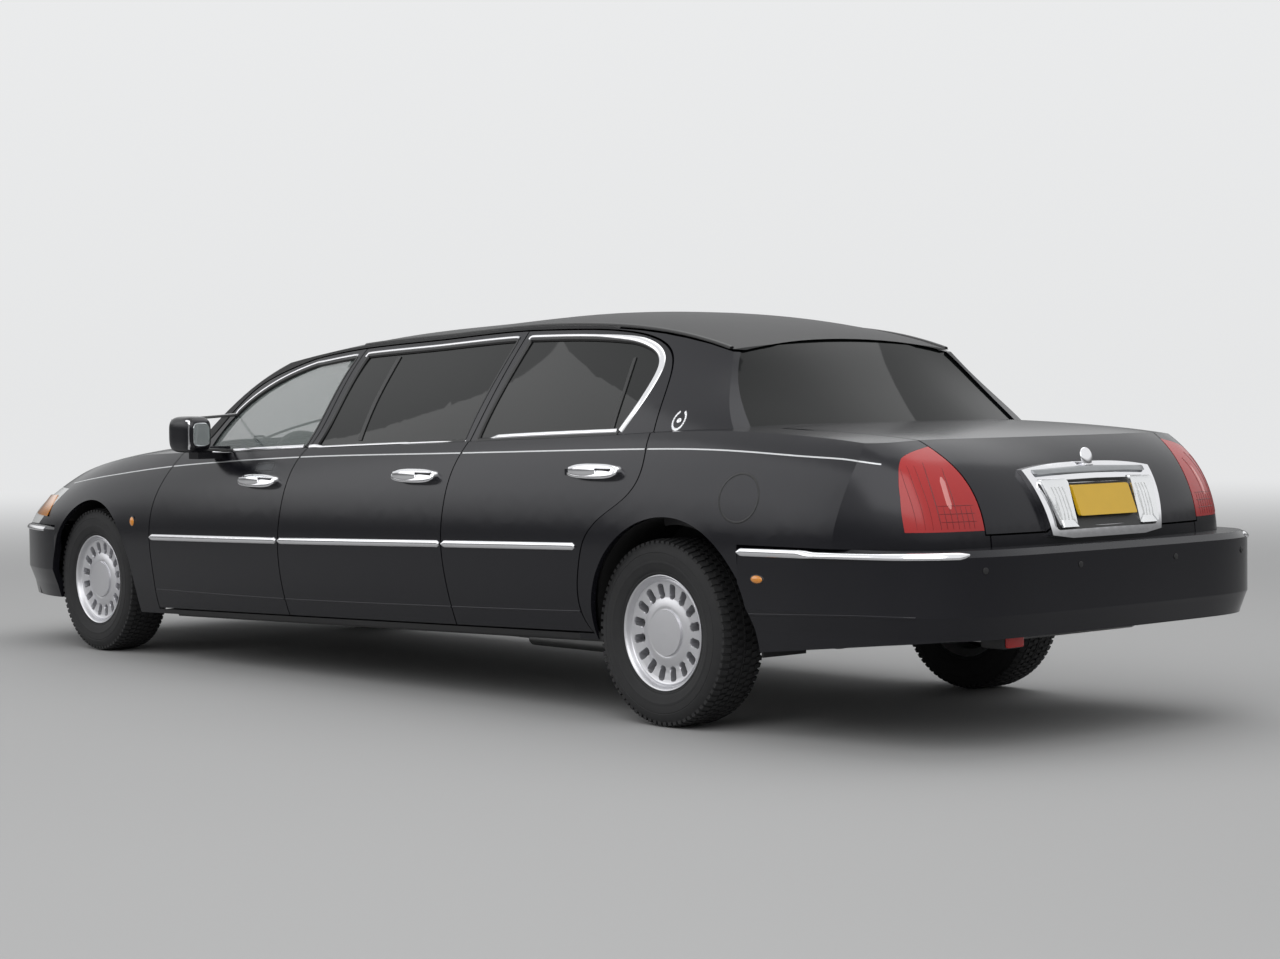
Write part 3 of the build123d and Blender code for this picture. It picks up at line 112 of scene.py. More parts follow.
# ---------------------------------------------------------------------------------- finishes
@dataclass(frozen=True)
class Finish:
    """A surface finish on one Principled shader, with optional fine grain."""

    name: str
    colour: Colour
    metallic: float = 0.0
    roughness: float = 0.4
    coat: float = 0.0
    coat_roughness: float = 0.03
    ior: float = 1.5
    alpha: float = 1.0
    grain_scale: float = 0.0
    grain_depth: float = 0.0
    colour_change: float = 0.0

    def material(self) -> bpy.types.Material:
        """The Blender material of this finish, made on first use."""
        known = bpy.data.materials.get(self.name)
        return known if known else self._build()

    def _build(self) -> bpy.types.Material:
        """Builds the node tree."""
        material = bpy.data.materials.new(self.name)
        material.use_nodes = True
        nodes, links = material.node_tree.nodes, material.node_tree.links
        shader = nodes["Principled BSDF"]
        shader.inputs["Base Color"].default_value = (*self.colour, 1.0)
        shader.inputs["Metallic"].default_value = self.metallic
        shader.inputs["Roughness"].default_value = self.roughness
        shader.inputs["Coat Weight"].default_value = self.coat
        shader.inputs["Coat Roughness"].default_value = self.coat_roughness
        shader.inputs["IOR"].default_value = self.ior
        shader.inputs["Alpha"].default_value = self.alpha
        if self.grain_scale:
            self._grain(nodes, links, shader)
        return material

    def _grain(self, nodes: bpy.types.Nodes, links: bpy.types.NodeLinks, shader: bpy.types.Node) -> None:
        """Adds fine bump, and colour variation where it is asked for.

        Args:
            nodes: The material's nodes.
            links: The material's links.
            shader: The Principled shader that takes them.
        """
        place = nodes.new("ShaderNodeTexCoord")
        noise = nodes.new("ShaderNodeTexNoise")
        noise.inputs["Scale"].default_value = self.grain_scale
        noise.inputs["Detail"].default_value = 4.0
        links.new(place.outputs["Object"], noise.inputs["Vector"])
        if self.grain_depth:
            bump = nodes.new("ShaderNodeBump")
            bump.inputs["Strength"].default_value = 0.6
            bump.inputs["Distance"].default_value = self.grain_depth
            links.new(noise.outputs["Fac"], bump.inputs["Height"])
            links.new(bump.outputs["Normal"], shader.inputs["Normal"])
        if self.colour_change:
            mix = nodes.new("ShaderNodeMix")
            mix.data_type = "RGBA"
            low, high = mix.inputs[6], mix.inputs[7]
            low.default_value = (*[c * (1 - self.colour_change) for c in self.colour], 1.0)
            high.default_value = (*[min(1.0, c * (1 + self.colour_change)) for c in self.colour], 1.0)
            broad = nodes.new("ShaderNodeTexNoise")
            broad.inputs["Scale"].default_value = self.grain_scale * 0.08
            links.new(place.outputs["Object"], broad.inputs["Vector"])
            links.new(broad.outputs["Fac"], mix.inputs["Factor"])
            links.new(mix.outputs[2], shader.inputs["Base Color"])


BLACK_PAINT = Finish("black_paint", (0.004, 0.004, 0.0045), roughness=0.09, ior=1.4, coat=0.7,
                     coat_roughness=0.012, grain_scale=900.0, grain_depth=0.00001)
ROOF_COVER = Finish("roof_cover", (0.010, 0.010, 0.011), roughness=0.45, ior=1.26, coat=0.05,
                    coat_roughness=0.3, grain_scale=700.0, grain_depth=0.0002, colour_change=0.12)
CHROME = Finish("chrome", (0.83, 0.84, 0.86), metallic=1.0, roughness=0.07, grain_scale=300.0,
                colour_change=0.03)
ALLOY = Finish("alloy", (0.66, 0.67, 0.69), metallic=0.9, roughness=0.3, coat=0.4, grain_scale=260.0,
               grain_depth=0.00003, colour_change=0.05)
TYRE_RUBBER = Finish("tyre_rubber", (0.02, 0.02, 0.021), roughness=0.75, grain_scale=240.0,
                     grain_depth=0.0003, colour_change=0.25)
TRIM_BLACK = Finish("trim_black", (0.018, 0.018, 0.019), roughness=0.5, grain_scale=500.0,
                    grain_depth=0.0001, colour_change=0.1)
UNDERBODY = Finish("underbody", (0.02, 0.02, 0.021), roughness=0.8, grain_scale=60.0, grain_depth=0.0008,
                   colour_change=0.4)
STEEL = Finish("steel", (0.028, 0.027, 0.026), metallic=0.3, roughness=0.65, grain_scale=90.0,
               grain_depth=0.0003, colour_change=0.35)
TINTED_GLASS = Finish("tinted_glass", (0.008, 0.009, 0.009), roughness=0.02, alpha=0.985, ior=1.33, coat=0.1,
                      grain_scale=2.0, colour_change=0.05)
DARK_GLASS = Finish("dark_glass", (0.005, 0.006, 0.006), roughness=0.03, alpha=0.985, ior=1.24,
                    grain_scale=2.0, colour_change=0.05)
CLEAR_GLASS = Finish("clear_glass", (0.25, 0.3, 0.29), roughness=0.01, alpha=0.3, coat=1.0, grain_scale=2.0,
                     colour_change=0.05)
RED_LENS = Finish("red_lens", (0.78, 0.0, 0.005), roughness=0.14, ior=1.17, coat=0.04, grain_scale=300.0,
                  grain_depth=0.00008, colour_change=0.2)
AMBER_LENS = Finish("amber_lens", (0.85, 0.3, 0.02), roughness=0.12, coat=1.0, grain_scale=300.0,
                    grain_depth=0.0001, colour_change=0.15)
CLEAR_LENS = Finish("clear_lens", (0.72, 0.74, 0.75), roughness=0.12, coat=1.0, grain_scale=300.0,
                    grain_depth=0.0001, colour_change=0.1)
LEATHER = Finish("leather", (0.030, 0.029, 0.031), roughness=0.5, grain_scale=900.0, grain_depth=0.00015,
                 colour_change=0.1)
PLATE_YELLOW = Finish("plate_yellow", (0.83, 0.5, 0.012), roughness=0.35, coat=0.3, grain_scale=200.0,
                      grain_depth=0.00003, colour_change=0.05)
SILVER_LINE = Finish("silver_line", (0.62, 0.63, 0.64), metallic=0.6, roughness=0.3, grain_scale=300.0,
                     colour_change=0.05)
SEAM_BLACK = Finish("seam_black", (0.009, 0.009, 0.0095), roughness=0.42, grain_scale=400.0,
                    grain_depth=0.00005, colour_change=0.1)
BAND_GREY = Finish("band_grey", (0.30, 0.31, 0.32), metallic=0.9, roughness=0.28, grain_scale=500.0,
                   grain_depth=0.00005, colour_change=0.1)
MIRROR_GLASS = Finish("mirror_glass", (0.55, 0.57, 0.58), metallic=1.0, roughness=0.03, grain_scale=40.0,
                      colour_change=0.04)
LAMP_BOWL = Finish("lamp_bowl", (0.78, 0.79, 0.80), metallic=0.9, roughness=0.12, coat=1.0,
                   grain_scale=120.0, grain_depth=0.0006, colour_change=0.08)
# A pale red finish that paints a highlight on the tail lamps.
LAMP_PAINTED_HIGHLIGHT = Finish("lamp_pale", (0.86, 0.30, 0.28), roughness=0.15, coat=0.4, grain_scale=260.0,
                   grain_depth=0.0002, colour_change=0.2)
LAMP_DARK = Finish("lamp_dark", (0.20, 0.002, 0.004), roughness=0.15, coat=0.2, grain_scale=300.0,
                   colour_change=0.2)
LAMP_CLEAR = Finish("lamp_clear", (0.74, 0.75, 0.74), roughness=0.08, alpha=0.42, coat=1.0,
                    grain_scale=180.0, grain_depth=0.0003, colour_change=0.1)
FLOOR_FINISH = Finish("floor_pale", (0.46, 0.46, 0.46), roughness=0.85, grain_scale=3.0, colour_change=0.03)

NODE_FINISHES: dict[str, Finish] = {
    "black_paint": BLACK_PAINT, "roof_paint": ROOF_COVER, "chrome": CHROME, "alloy": ALLOY,
    "tyre": TYRE_RUBBER, "side_glass": TINTED_GLASS, "screen_glass": CLEAR_GLASS, "red_lens": RED_LENS,
    "clear_lens": CLEAR_LENS, "black_plastic": TRIM_BLACK, "underbody": UNDERBODY, "steel": STEEL,
    "cabin_trim": LEATHER,
}

SINGLE_FINISHES: dict[str, Finish] = {
    "rear_window": DARK_GLASS, "cabin_frame": TRIM_BLACK, "glass_front_left": CLEAR_GLASS,
    "glass_front_right": CLEAR_GLASS,
}


# ---------------------------------------------------------------------------------- stage
@dataclass
class Studio:
    """Floor, world, lamps and the camera."""

    eye: Point = (-9.0345, 7.257, 1.2454)
    yaw: float = -0.71843
    pitch: float = -0.034694
    roll: float = -0.012279
    lens: float = 73.1
    fade_start: float = 5.0
    fade_end: float = 24.0

    def build(self) -> None:
        """Makes the whole stage."""
        self._floor()
        self._world()
        self._lamps()
        self._camera()

    def _floor(self) -> None:
        """A wide pale floor at the tyres' feet."""
        deselect()
        bpy.ops.mesh.primitive_plane_add(size=160.0, location=(0, 0, 0))
        floor = bpy.context.active_object
        floor.name = "floor"
        surface = FLOOR_FINISH.material()
        self._fade(surface)
        floor.data.materials.append(surface)
        floor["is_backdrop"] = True

    def _fade(self, surface: bpy.types.Material) -> None:
        """Lets the floor fade into the pale background far from the car.

        Args:
            surface: The floor's material.
        """
        nodes, links = surface.node_tree.nodes, surface.node_tree.links
        place = nodes.new("ShaderNodeTexCoord")
        length = nodes.new("ShaderNodeVectorMath")
        length.operation = "LENGTH"
        links.new(place.outputs["Object"], length.inputs[0])
        share = nodes.new("ShaderNodeMapRange")
        share.interpolation_type = "SMOOTHSTEP"
        share.inputs["From Min"].default_value = self.fade_start
        share.inputs["From Max"].default_value = self.fade_end
        links.new(length.outputs["Value"], share.inputs["Value"])
        far = nodes.new("ShaderNodeEmission")
        far.inputs["Color"].default_value = (0.788, 0.794, 0.80, 1.0)
        path = nodes.new("ShaderNodeLightPath")
        seen = nodes.new("ShaderNodeMath")
        seen.operation = "MAXIMUM"
        links.new(path.outputs["Is Camera Ray"], seen.inputs[0])
        links.new(path.outputs["Is Transmission Ray"], seen.inputs[1])
        both = nodes.new("ShaderNodeMath")
        both.operation = "MULTIPLY"
        links.new(share.outputs["Result"], both.inputs[0])
        links.new(seen.outputs[0], both.inputs[1])
        mix = nodes.new("ShaderNodeMixShader")
        links.new(both.outputs[0], mix.inputs["Fac"])
        links.new(nodes["Principled BSDF"].outputs[0], mix.inputs[1])
        links.new(far.outputs[0], mix.inputs[2])
        links.new(mix.outputs[0], nodes["Material Output"].inputs["Surface"])

    def _world(self) -> None:
        """A grey sky, brighter overhead, which camera and mirror rays see too."""
        world = bpy.data.worlds.new("studio")
        world.use_nodes = True
        bpy.context.scene.world = world
        nodes, links = world.node_tree.nodes, world.node_tree.links
        back = nodes["Background"]
        place = nodes.new("ShaderNodeTexCoord")
        split = nodes.new("ShaderNodeSeparateXYZ")
        seen = self._sky(nodes, ((0.0, 0.80), (0.16, 0.84), (0.75, 0.97)))
        shown = self._sky(nodes, ((0.04, 0.16), (0.11, 0.26), (0.22, 0.98), (0.75, 1.0)))
        lit = self._sky(nodes, ((0.0, 0.30), (0.16, 0.34), (0.75, 0.55)))
        links.new(place.outputs["Generated"], split.inputs[0])
        rays = nodes.new("ShaderNodeLightPath")
        direct = nodes.new("ShaderNodeMath")
        direct.operation = "MAXIMUM"
        links.new(rays.outputs["Is Camera Ray"], direct.inputs[0])
        links.new(rays.outputs["Is Transmission Ray"], direct.inputs[1])
        for ramp in (seen, shown, lit):
            links.new(split.outputs["Z"], ramp.inputs["Fac"])
        mirrored_sky = self._choice(nodes, links, rays.outputs["Is Glossy Ray"], lit.outputs["Color"],
                                    shown.outputs["Color"])
        whole = self._choice(nodes, links, direct.outputs[0], mirrored_sky, seen.outputs["Color"])
        links.new(whole, back.inputs["Color"])
        back.inputs["Strength"].default_value = 1.0

    @staticmethod
    def _choice(nodes: bpy.types.Nodes, links: bpy.types.NodeLinks, share: bpy.types.NodeSocket,
                first: bpy.types.NodeSocket, second: bpy.types.NodeSocket) -> bpy.types.NodeSocket:
        """Mixes two colours by a share.

        Args:
            nodes: The world's nodes.
            links: The world's links.
            share: 0 for the first, 1 for the second.
            first: The first colour.
            second: The second colour.

        Returns:
            The mixed colour.
        """
        mix = nodes.new("ShaderNodeMix")
        mix.data_type = "RGBA"
        links.new(share, mix.inputs["Factor"])
        links.new(first, mix.inputs[6])
        links.new(second, mix.inputs[7])
        return mix.outputs[2]

    @staticmethod
    def _sky(nodes: bpy.types.Nodes, levels: tuple) -> bpy.types.Node:
        """A ramp of greys from the horizon up.

        Args:
            nodes: The world's nodes.
            levels: (height, level) pairs.

        Returns:
            The ramp.
        """
        ramp = nodes.new("ShaderNodeValToRGB")
        marks = ramp.color_ramp.elements
        while len(marks) < len(levels):
            marks.new(0.5)
        for mark, (height, level) in zip(marks, levels):
            mark.position = height
            mark.color = (level * 0.985, level * 0.993, level, 1.0)
        return ramp

    def _lamps(self) -> None:
        """Three broad soft lamps."""
        self._lamp("key", (-6.0, 6.0, 6.5), 7.0, 260.0)
        self._lamp("fill", (6.0, 7.0, 5.0), 7.0, 120.0)
        self._lamp("top", (0.0, -2.0, 7.5), 8.0, 200.0)

    def _lamp(self, name: str, place: Point, size: float, power: float) -> None:
        """One square area lamp aimed at the car.

        Args:
            name: The lamp's name.
            place: Where it hangs.
            size: Its edge.
            power: Its watts.
        """
        data = bpy.data.lights.new(name, "AREA")
        data.shape, data.size, data.energy = "SQUARE", size, power
        lamp = bpy.data.objects.new(name, data)
        bpy.context.scene.collection.objects.link(lamp)
        lamp.location = place
        aim = Vector((0, 0, 0.6)) - Vector(place)
        lamp.rotation_euler = aim.to_track_quat("-Z", "Y").to_euler()

    def _camera(self) -> None:
        """The camera at the rear left, slightly above belt height."""
        level = math.cos(self.pitch)
        ahead = Vector((level * math.cos(self.yaw), level * math.sin(self.yaw), math.sin(self.pitch)))
        right = Vector((math.sin(self.yaw), -math.cos(self.yaw), 0.0))
        up = right.cross(ahead)
        cos_roll, sin_roll = math.cos(self.roll), math.sin(self.roll)
        right, up = right * cos_roll + up * sin_roll, up * cos_roll - right * sin_roll
        data = bpy.data.cameras.new("camera")
        data.lens, data.sensor_width, data.clip_end = self.lens, 36.0, 300.0
        camera = bpy.data.objects.new("camera", data)
        bpy.context.scene.collection.objects.link(camera)
        frame = Matrix((right, up, -ahead)).transposed().to_4x4()
        frame.translation = Vector(self.eye)
        camera.matrix_world = frame
        bpy.context.scene.camera = camera


# ---------------------------------------------------------------------------------- tools
def deselect() -> None:
    """Clears the selection."""
    for thing in bpy.context.selected_objects:
        thing.select_set(False)


def only(piece: bpy.types.Object) -> None:
    """Selects one piece alone and makes it active.

    Args:
        piece: The piece to work on.
    """
    deselect()
    piece.select_set(True)
    bpy.context.view_layer.objects.active = piece


def mesh_piece(name: str, points: list, faces: list, merge: bool = True) -> bpy.types.Object:
    """A mesh object from points and faces, with its normals made to point outwards.

    Args:
        name: The piece's name.
        points: Its points in metres.
        faces: Tuples of point numbers.
        merge: Whether doubles are merged, which renumbers the faces.

    Returns:
        The new object.
    """
    data = bpy.data.meshes.new(name)
    data.from_pydata([tuple(point) for point in points], [], faces)
    piece = bpy.data.objects.new(name, data)
    bpy.context.scene.collection.objects.link(piece)
    turn_outwards(piece, merge)
    return piece


def turn_outwards(piece: bpy.types.Object, merge: bool) -> None:
    """Points the faces outwards.

    Args:
        piece: The piece to mend.
        merge: Whether its doubles are merged first.
    """
    shape = bmesh.new()
    shape.from_mesh(piece.data)
    if merge:
        bmesh.ops.remove_doubles(shape, verts=shape.verts, dist=1e-6)
    bmesh.ops.recalc_face_normals(shape, faces=shape.faces)
    shape.to_mesh(piece.data)
    shape.free()


def smooth(piece: bpy.types.Object, angle: float = 35.0) -> None:
    """Shades a piece smooth below an edge angle.

    Args:
        piece: The piece to shade.
        angle: The sharpest smooth edge, in degrees.
    """
    data = piece.data
    data.polygons.foreach_set("use_smooth", [True] * len(data.polygons))
    data.set_sharp_from_angle(angle=math.radians(angle))
    data.update()


def bake_place(piece: bpy.types.Object) -> None:
    """Moves a piece's place, turn and scale into its mesh."""
    only(piece)
    bpy.ops.object.transform_apply(location=True, rotation=True, scale=True)


def apply_all(piece: bpy.types.Object) -> None:
    """Applies every modifier of a piece."""
    only(piece)
    for modifier in list(piece.modifiers):
        bpy.ops.object.modifier_apply(modifier=modifier.name)


def soften(piece: bpy.types.Object, width: float, segments: int = 3, angle: float = 35.0) -> None:
    """Rounds a piece's sharp edges and applies it.

    Args:
        piece: The piece to round.
        width: The bevel's width.
        segments: Its steps.
        angle: Edges sharper than this many degrees are rounded.
    """
    bevel = piece.modifiers.new("bevel", "BEVEL")
    bevel.width, bevel.segments, bevel.limit_method = width, segments, "ANGLE"
    bevel.angle_limit = math.radians(angle)
    bevel.use_clamp_overlap = True
    apply_all(piece)
    smooth(piece)


def block(name: str, low: Point, high: Point, rounding: float = 0.0) -> bpy.types.Object:
    """A block between two corners with rounded edges, as a start for a shape.

    Args:
        name: The piece's name.
        low: Its lowest corner.
        high: Its highest corner.
        rounding: The bevel's width.

    Returns:
        The new object.
    """
    deselect()
    middle = [(a + b) / 2 for a, b in zip(low, high)]
    bpy.ops.mesh.primitive_cube_add(size=1.0, location=middle)
    piece = bpy.context.active_object
    piece.name = piece.data.name = name
    piece.scale = [b - a for a, b in zip(low, high)]
    bake_place(piece)
    if rounding:
        soften(piece, rounding)
    return piece


def mirrored(piece: bpy.types.Object, name: str) -> bpy.types.Object:
    """A copy of a piece on the other side of the car, with its own mesh.

    Args:
        piece: The left piece.
        name: The right piece's name.

    Returns:
        The right piece.
    """
    data = piece.data.copy()
    twin = bpy.data.objects.new(name, data)
    data.name = name
    bpy.context.scene.collection.objects.link(twin)
    data.transform(Matrix.Scale(-1.0, 4, Vector((0, 1, 0))))
    data.flip_normals()
    return twin


def joined(name: str, pieces: list) -> bpy.types.Object:
    """Joins pieces into one.

    Args:
        name: The joined piece's name.
        pieces: What to join; the first takes the rest.

    Returns:
        The joined piece.
    """
    deselect()
    for piece in pieces:
        piece.select_set(True)
    bpy.context.view_layer.objects.active = pieces[0]
    if len(pieces) > 1:
        bpy.ops.object.join()
    pieces[0].name = pieces[0].data.name = name
    return pieces[0]


def ball(name: str, place: Point, half: Point, turn: Point, segments: int = 32,
         rings: int = 0) -> bpy.types.Object:
    """A ball with three half sizes, as a start for a shape.

    Args:
        name: The piece's name.
        place: Its middle.
        half: Its half sizes.
        turn: Its turn about the three axes.
        segments: Steps round it.
        rings: Steps from pole to pole, half the segments where it isn't given.

    Returns:
        The new object.
    """
    deselect()
    rings = rings or segments // 2
    bpy.ops.mesh.primitive_uv_sphere_add(segments=segments, ring_count=rings, location=place)
    piece = bpy.context.active_object
    piece.name = piece.data.name = name
    piece.scale = half
    piece.rotation_euler = turn
    bake_place(piece)
    return piece


def rod(name: str, place: Point, radius: float, long: float, segments: int,
        turn: Point = (0, 0, 0)) -> bpy.types.Object:
    """A round rod or disc.

    Args:
        name: The piece's name.
        place: Its middle.
        radius: Its radius.
        long: Its length.
        segments: Steps round it.
        turn: Its turn about the three axes.

    Returns:
        The new object.
    """
    deselect()
    bpy.ops.mesh.primitive_cylinder_add(vertices=segments, radius=radius, depth=long, location=place)
    piece = bpy.context.active_object
    piece.name = piece.data.name = name
    piece.rotation_euler = turn
    bake_place(piece)
    return piece


def sides(rings: int, count: int, closed: bool = False) -> list[tuple]:
    """The faces between rings of points that follow one another.

    Args:
        rings: How many rings.
        count: Points in each.
        closed: Whether the last ring meets the first.

    Returns:
        The faces.
    """
    faces = []
    for i in range(rings if closed else rings - 1):
        j = (i + 1) % rings
        for k in range(count):
            m = (k + 1) % count
            faces.append((i * count + k, i * count + m, j * count + m, j * count + k))
    return faces


def ring_faces(rings: int, count: int, closed: bool = False) -> list[tuple]:
    """The faces between rings of points, and one over each open end."""
    ends = [] if closed else [tuple(range(count)), tuple(range((rings - 1) * count, rings * count))]
    return sides(rings, count, closed) + ends


def round_axis(middle: Point, radius: float, along: float, turn: float) -> Point:
    """The point at a radius and a turn round a line along Y, some way along it from its middle."""
    return (middle[0] + radius * math.cos(turn), middle[1] + along, middle[2] + radius * math.sin(turn))


def lathe(name: str, outline: list, steps: int, middle: Point) -> bpy.types.Object:
    """Turns a closed outline of (radius, along) points round a line along Y, in some steps."""
    points = [round_axis(middle, radius, along, 2 * math.pi * step / steps)
              for step in range(steps) for radius, along in outline]
    return mesh_piece(name, points, ring_faces(steps, len(outline), closed=True))


def powered(value: float, power: float) -> float:
    """A value raised to a power, with its sign kept."""
    return math.copysign(abs(value) ** power, value)


def averaged(values: list, reach: int) -> list:
    """Values along a run, each averaged with its neighbours.

    Args:
        values: Numbers or points.
        reach: Neighbours on each side.

    Returns:
        The averages.
    """
    out = []
    for i in range(len(values)):
        near = values[max(0, i - reach):i + reach + 1]
        out.append(sum(near[1:], near[0]) / len(near))
    return out


def between(run: list, x: float) -> float:
    """The height at x on a line of (x, z) points, x rising."""
    return float(np.interp(x, [p[0] for p in run], [p[1] for p in run]))


def rounded_run(points: list, steps: int = 8) -> list[Vector]:
    """A smooth run through given points.

    Args:
        points: The points.
        steps: Steps between two points.

    Returns:
        The run's points.
    """
    marks = [Vector(p) for p in points]
    marks = [2 * marks[0] - marks[1]] + marks + [2 * marks[-1] - marks[-2]]
    run = []
    for i in range(1, len(marks) - 2):
        a, b, c, d = marks[i - 1:i + 3]
        for k in range(steps):
            t = k / steps
            run.append(0.5 * (2 * b + (c - a) * t + (2 * a - 5 * b + 4 * c - d) * t * t
                              + (3 * b - a - 3 * c + d) * t ** 3))
    return run + [marks[-2]]


def sweep(name: str, spine: list, facing: list, outline: list, closed: bool = False,
          widths: list | None = None) -> bpy.types.Object:
    """Draws an outline along a spine that lies on a surface.

    Args:
        name: The piece's name.
        spine: The points to follow.
        facing: The surface's normal at each.
        outline: (across, out) points of the section, as a closed loop.
        closed: Whether the spine's end joins its start.
        widths: A factor on the section's width at each point.

    Returns:
        The new object.
    """
    count = len(spine)
    points = []
    for i, place in enumerate(spine):
        ahead = spine[(i + 1) % count] if closed or i + 1 < count else spine[i]
        behind = spine[i - 1] if closed or i else spine[i]
        along = (ahead - behind).normalized()
        out = (facing[i] - along * facing[i].dot(along)).normalized()
        across = out.cross(along)
        factor = widths[i] if widths else 1.0
        points += [place + across * (a * factor) + out * b for a, b in outline]
    piece = mesh_piece(name, points, ring_faces(count, len(outline), closed))
    smooth(piece, 40.0)
    return piece


def half_round(width: float, proud: float, root: float = 0.0015, steps: int = 8) -> list:
    """A low half-round moulding's (across, out) points, its root let into the surface."""
    crown = [(width / 2 * math.cos(math.pi * k / steps), proud * math.sin(math.pi * k / steps))
             for k in range(steps + 1)]
    return crown + [(-width / 2, -root), (width / 2, -root)]


def rectangle(low_a: float, low_b: float, high_a: float, high_b: float) -> list[tuple[float, float]]:
    """The four corners between a low and a high corner."""
    return [(low_a, low_b), (high_a, low_b), (high_a, high_b), (low_a, high_b)]


def rounded_loop(corners: list, rounding: float, steps: int = 6) -> list[tuple[float, float]]:
    """A closed flat outline with its corners rounded.

    Args:
        corners: The corner points in order.
        rounding: How far along each run a corner starts.
        steps: Steps in a corner.

    Returns:
        The outline.
    """
    out, count = [], len(corners)
    for i, corner in enumerate(corners):
        here = Vector((*corner, 0))
        before = Vector((*corners[i - 1], 0)) - here
        after = Vector((*corners[(i + 1) % count], 0)) - here
        start, end = here + before.normalized() * rounding, here + after.normalized() * rounding
        for k in range(steps + 1):
            t = k / steps
            place = start * (1 - t) ** 2 + here * 2 * t * (1 - t) + end * t ** 2
            out.append((place.x, place.y))
    return out


BACKWARDS = Vector((-1, 0, 0))
FORWARDS = Vector((1, 0, 0))
PANEL_REACH = 0.12


class Skin:
    """The outer surface of some construction nodes, found by straight lines."""

    def __init__(self, frame: dict, *names: str) -> None:
        """Gathers the named nodes' faces."""
        points: list = []
        faces: list = []
        for name in names:
            data = frame["nodes"][name].data
            start = len(points)
            points += [tuple(v.co) for v in data.vertices]
            faces += [tuple(start + i for i in p.vertices) for p in data.polygons]
        self.tree = BVHTree.FromPolygons(points, faces)

    def cast(self, start: Point, way: Point) -> tuple[Vector, Vector] | None:
        """The first point of the surface on a line.

        Args:
            start: Where the line starts.
            way: Where it goes.

        Returns:
            The point and its normal, or None.
        """
        place, normal, _, _ = self.tree.ray_cast(Vector(start), Vector(way))
        if place is None:
            return None
        return place, (normal if normal.dot(Vector(way)) < 0 else -normal)

    def side(self, x: float, z: float) -> tuple[Vector, Vector] | None:
        """The left side's surface at x and z."""
        return self.cast((x, 2.5, z), (0, -1, 0))

    def rear(self, y: float, z: float) -> tuple[Vector, Vector] | None:
        """The rear's surface at y and z."""
        return self.cast((-6.0, y, z), (1, 0, 0))

    def inner(self, x: float, z: float) -> tuple[Vector, Vector] | None:
        """The left side's inner surface at x and z, seen from the cabin."""
        return self.cast((x, 0.0, z), (0, 1, 0))

    def ahead(self, y: float, z: float) -> tuple[Vector, Vector] | None:
        """The front's surface at y and z."""
        return self.cast((6.0, y, z), (-1, 0, 0))

    def top(self, x: float, y: float) -> tuple[Vector, Vector] | None:
        """The upper surface at x and y."""
        return self.cast((x, y, 4.0), (0, 0, -1))


def traced(cast: Callable, places: list, accept: Callable | None = None) -> tuple[list, list]:
    """Follows a course on a surface.

    Args:
        cast: Finds the surface from two coordinates.
        places: The course's pairs of coordinates.
        accept: Tells which findings are used; all are where it isn't given.

    Returns:
        The points and the normals found.
    """
    found = [cast(*place) for place in places]
    found = [finding for finding in found if finding and (accept is None or accept(finding))]
    return [place for place, _ in found], [normal for _, normal in found]


def settled(facing: list, reach: int = 4) -> list[Vector]:
    """Normals averaged with their neighbours.

    Args:
        facing: The normals along a run.
        reach: Neighbours on each side.

    Returns:
        The averaged normals.
    """
    out = []
    for i in range(len(facing)):
        near = facing[max(0, i - reach):i + reach + 1]
        out.append(sum(near, Vector()).normalized())
    return out


@dataclass
class Assembly:
    """Shared ways of finishing a piece."""

    frame: dict

    def finish(self, piece: bpy.types.Object, finish: Finish, body: str, slot: str, node: str = "") -> None:
        """Dresses a piece and lets it ride.

        Args:
            piece: The piece.
            finish: Its finish.
            body: The body it rides on.
            slot: The record's material slot; not used.
            node: The construction node that it stands for, if any.
        """
        if not piece.data.materials:
            piece.data.materials.append(finish.material())
        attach(piece, body)
        if node:
            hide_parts(node)
        LOG.info("%s on %s, %d faces", piece.name, body, len(piece.data.polygons))

    def pair(self, piece: bpy.types.Object, finish: Finish, body: str, slot: str, node: str = "") -> None:
        """Finishes a left piece and its twin on the right.

        Args:
            piece: The left piece, with _left in its name.
            finish: Its finish.
            body: The left body's name, or root.
            slot: The record's material slot.
            node: The left construction node that it stands for, if any.
        """
        twin = mirrored(piece, piece.name.replace("_left", "_right"))
        self.finish(piece, finish, body, slot, node)
        self.finish(twin, finish, body.replace("_left", "_right"), slot, node.replace("_left", "_right"))

    def panel(self, name: str, cast: Callable, way: Vector, corners: list, rounding: float, proud: float,
              crown: float = 0.0, root: float = 0.004) -> bpy.types.Object:
        """A rounded panel that stands on a surface.

        Args:
            name: The piece's name.
            cast: Finds the surface from two coordinates.
            way: The way that the panel stands out.
            corners: Its corners in those coordinates.
            rounding: Its corners' rounding.
            proud: How far it stands out.
            crown: How much more its middle stands out.
            root: How deep it sits in.

        Returns:
            The panel.
        """
        loop = rounded_loop(corners, rounding)
        middle = (sum(p[0] for p in loop) / len(loop), sum(p[1] for p in loop) / len(loop))
        level = cast(*middle)[0].dot(way)
        rings = ((1.0, -root), (1.0, proud * 0.6), (0.985, proud), (0.7, proud + crown * 0.6),
                 (0.35, proud + crown))
        points = []
        for share, out in rings:
            for a, b in loop:
                found = cast(middle[0] + (a - middle[0]) * share, middle[1] + (b - middle[1]) * share)
                if found is None or abs(found[0].dot(way) - level) > PANEL_REACH:
                    place = points[-1][0] if points else cast(*middle)[0]
                    points.append((place, out))
                else:
                    points.append((found[0], out))
        points = [place + way * out for place, out in points]
        piece = mesh_piece(name, points, ring_faces(len(rings), len(loop)))
        smooth(piece, 40)
        return piece


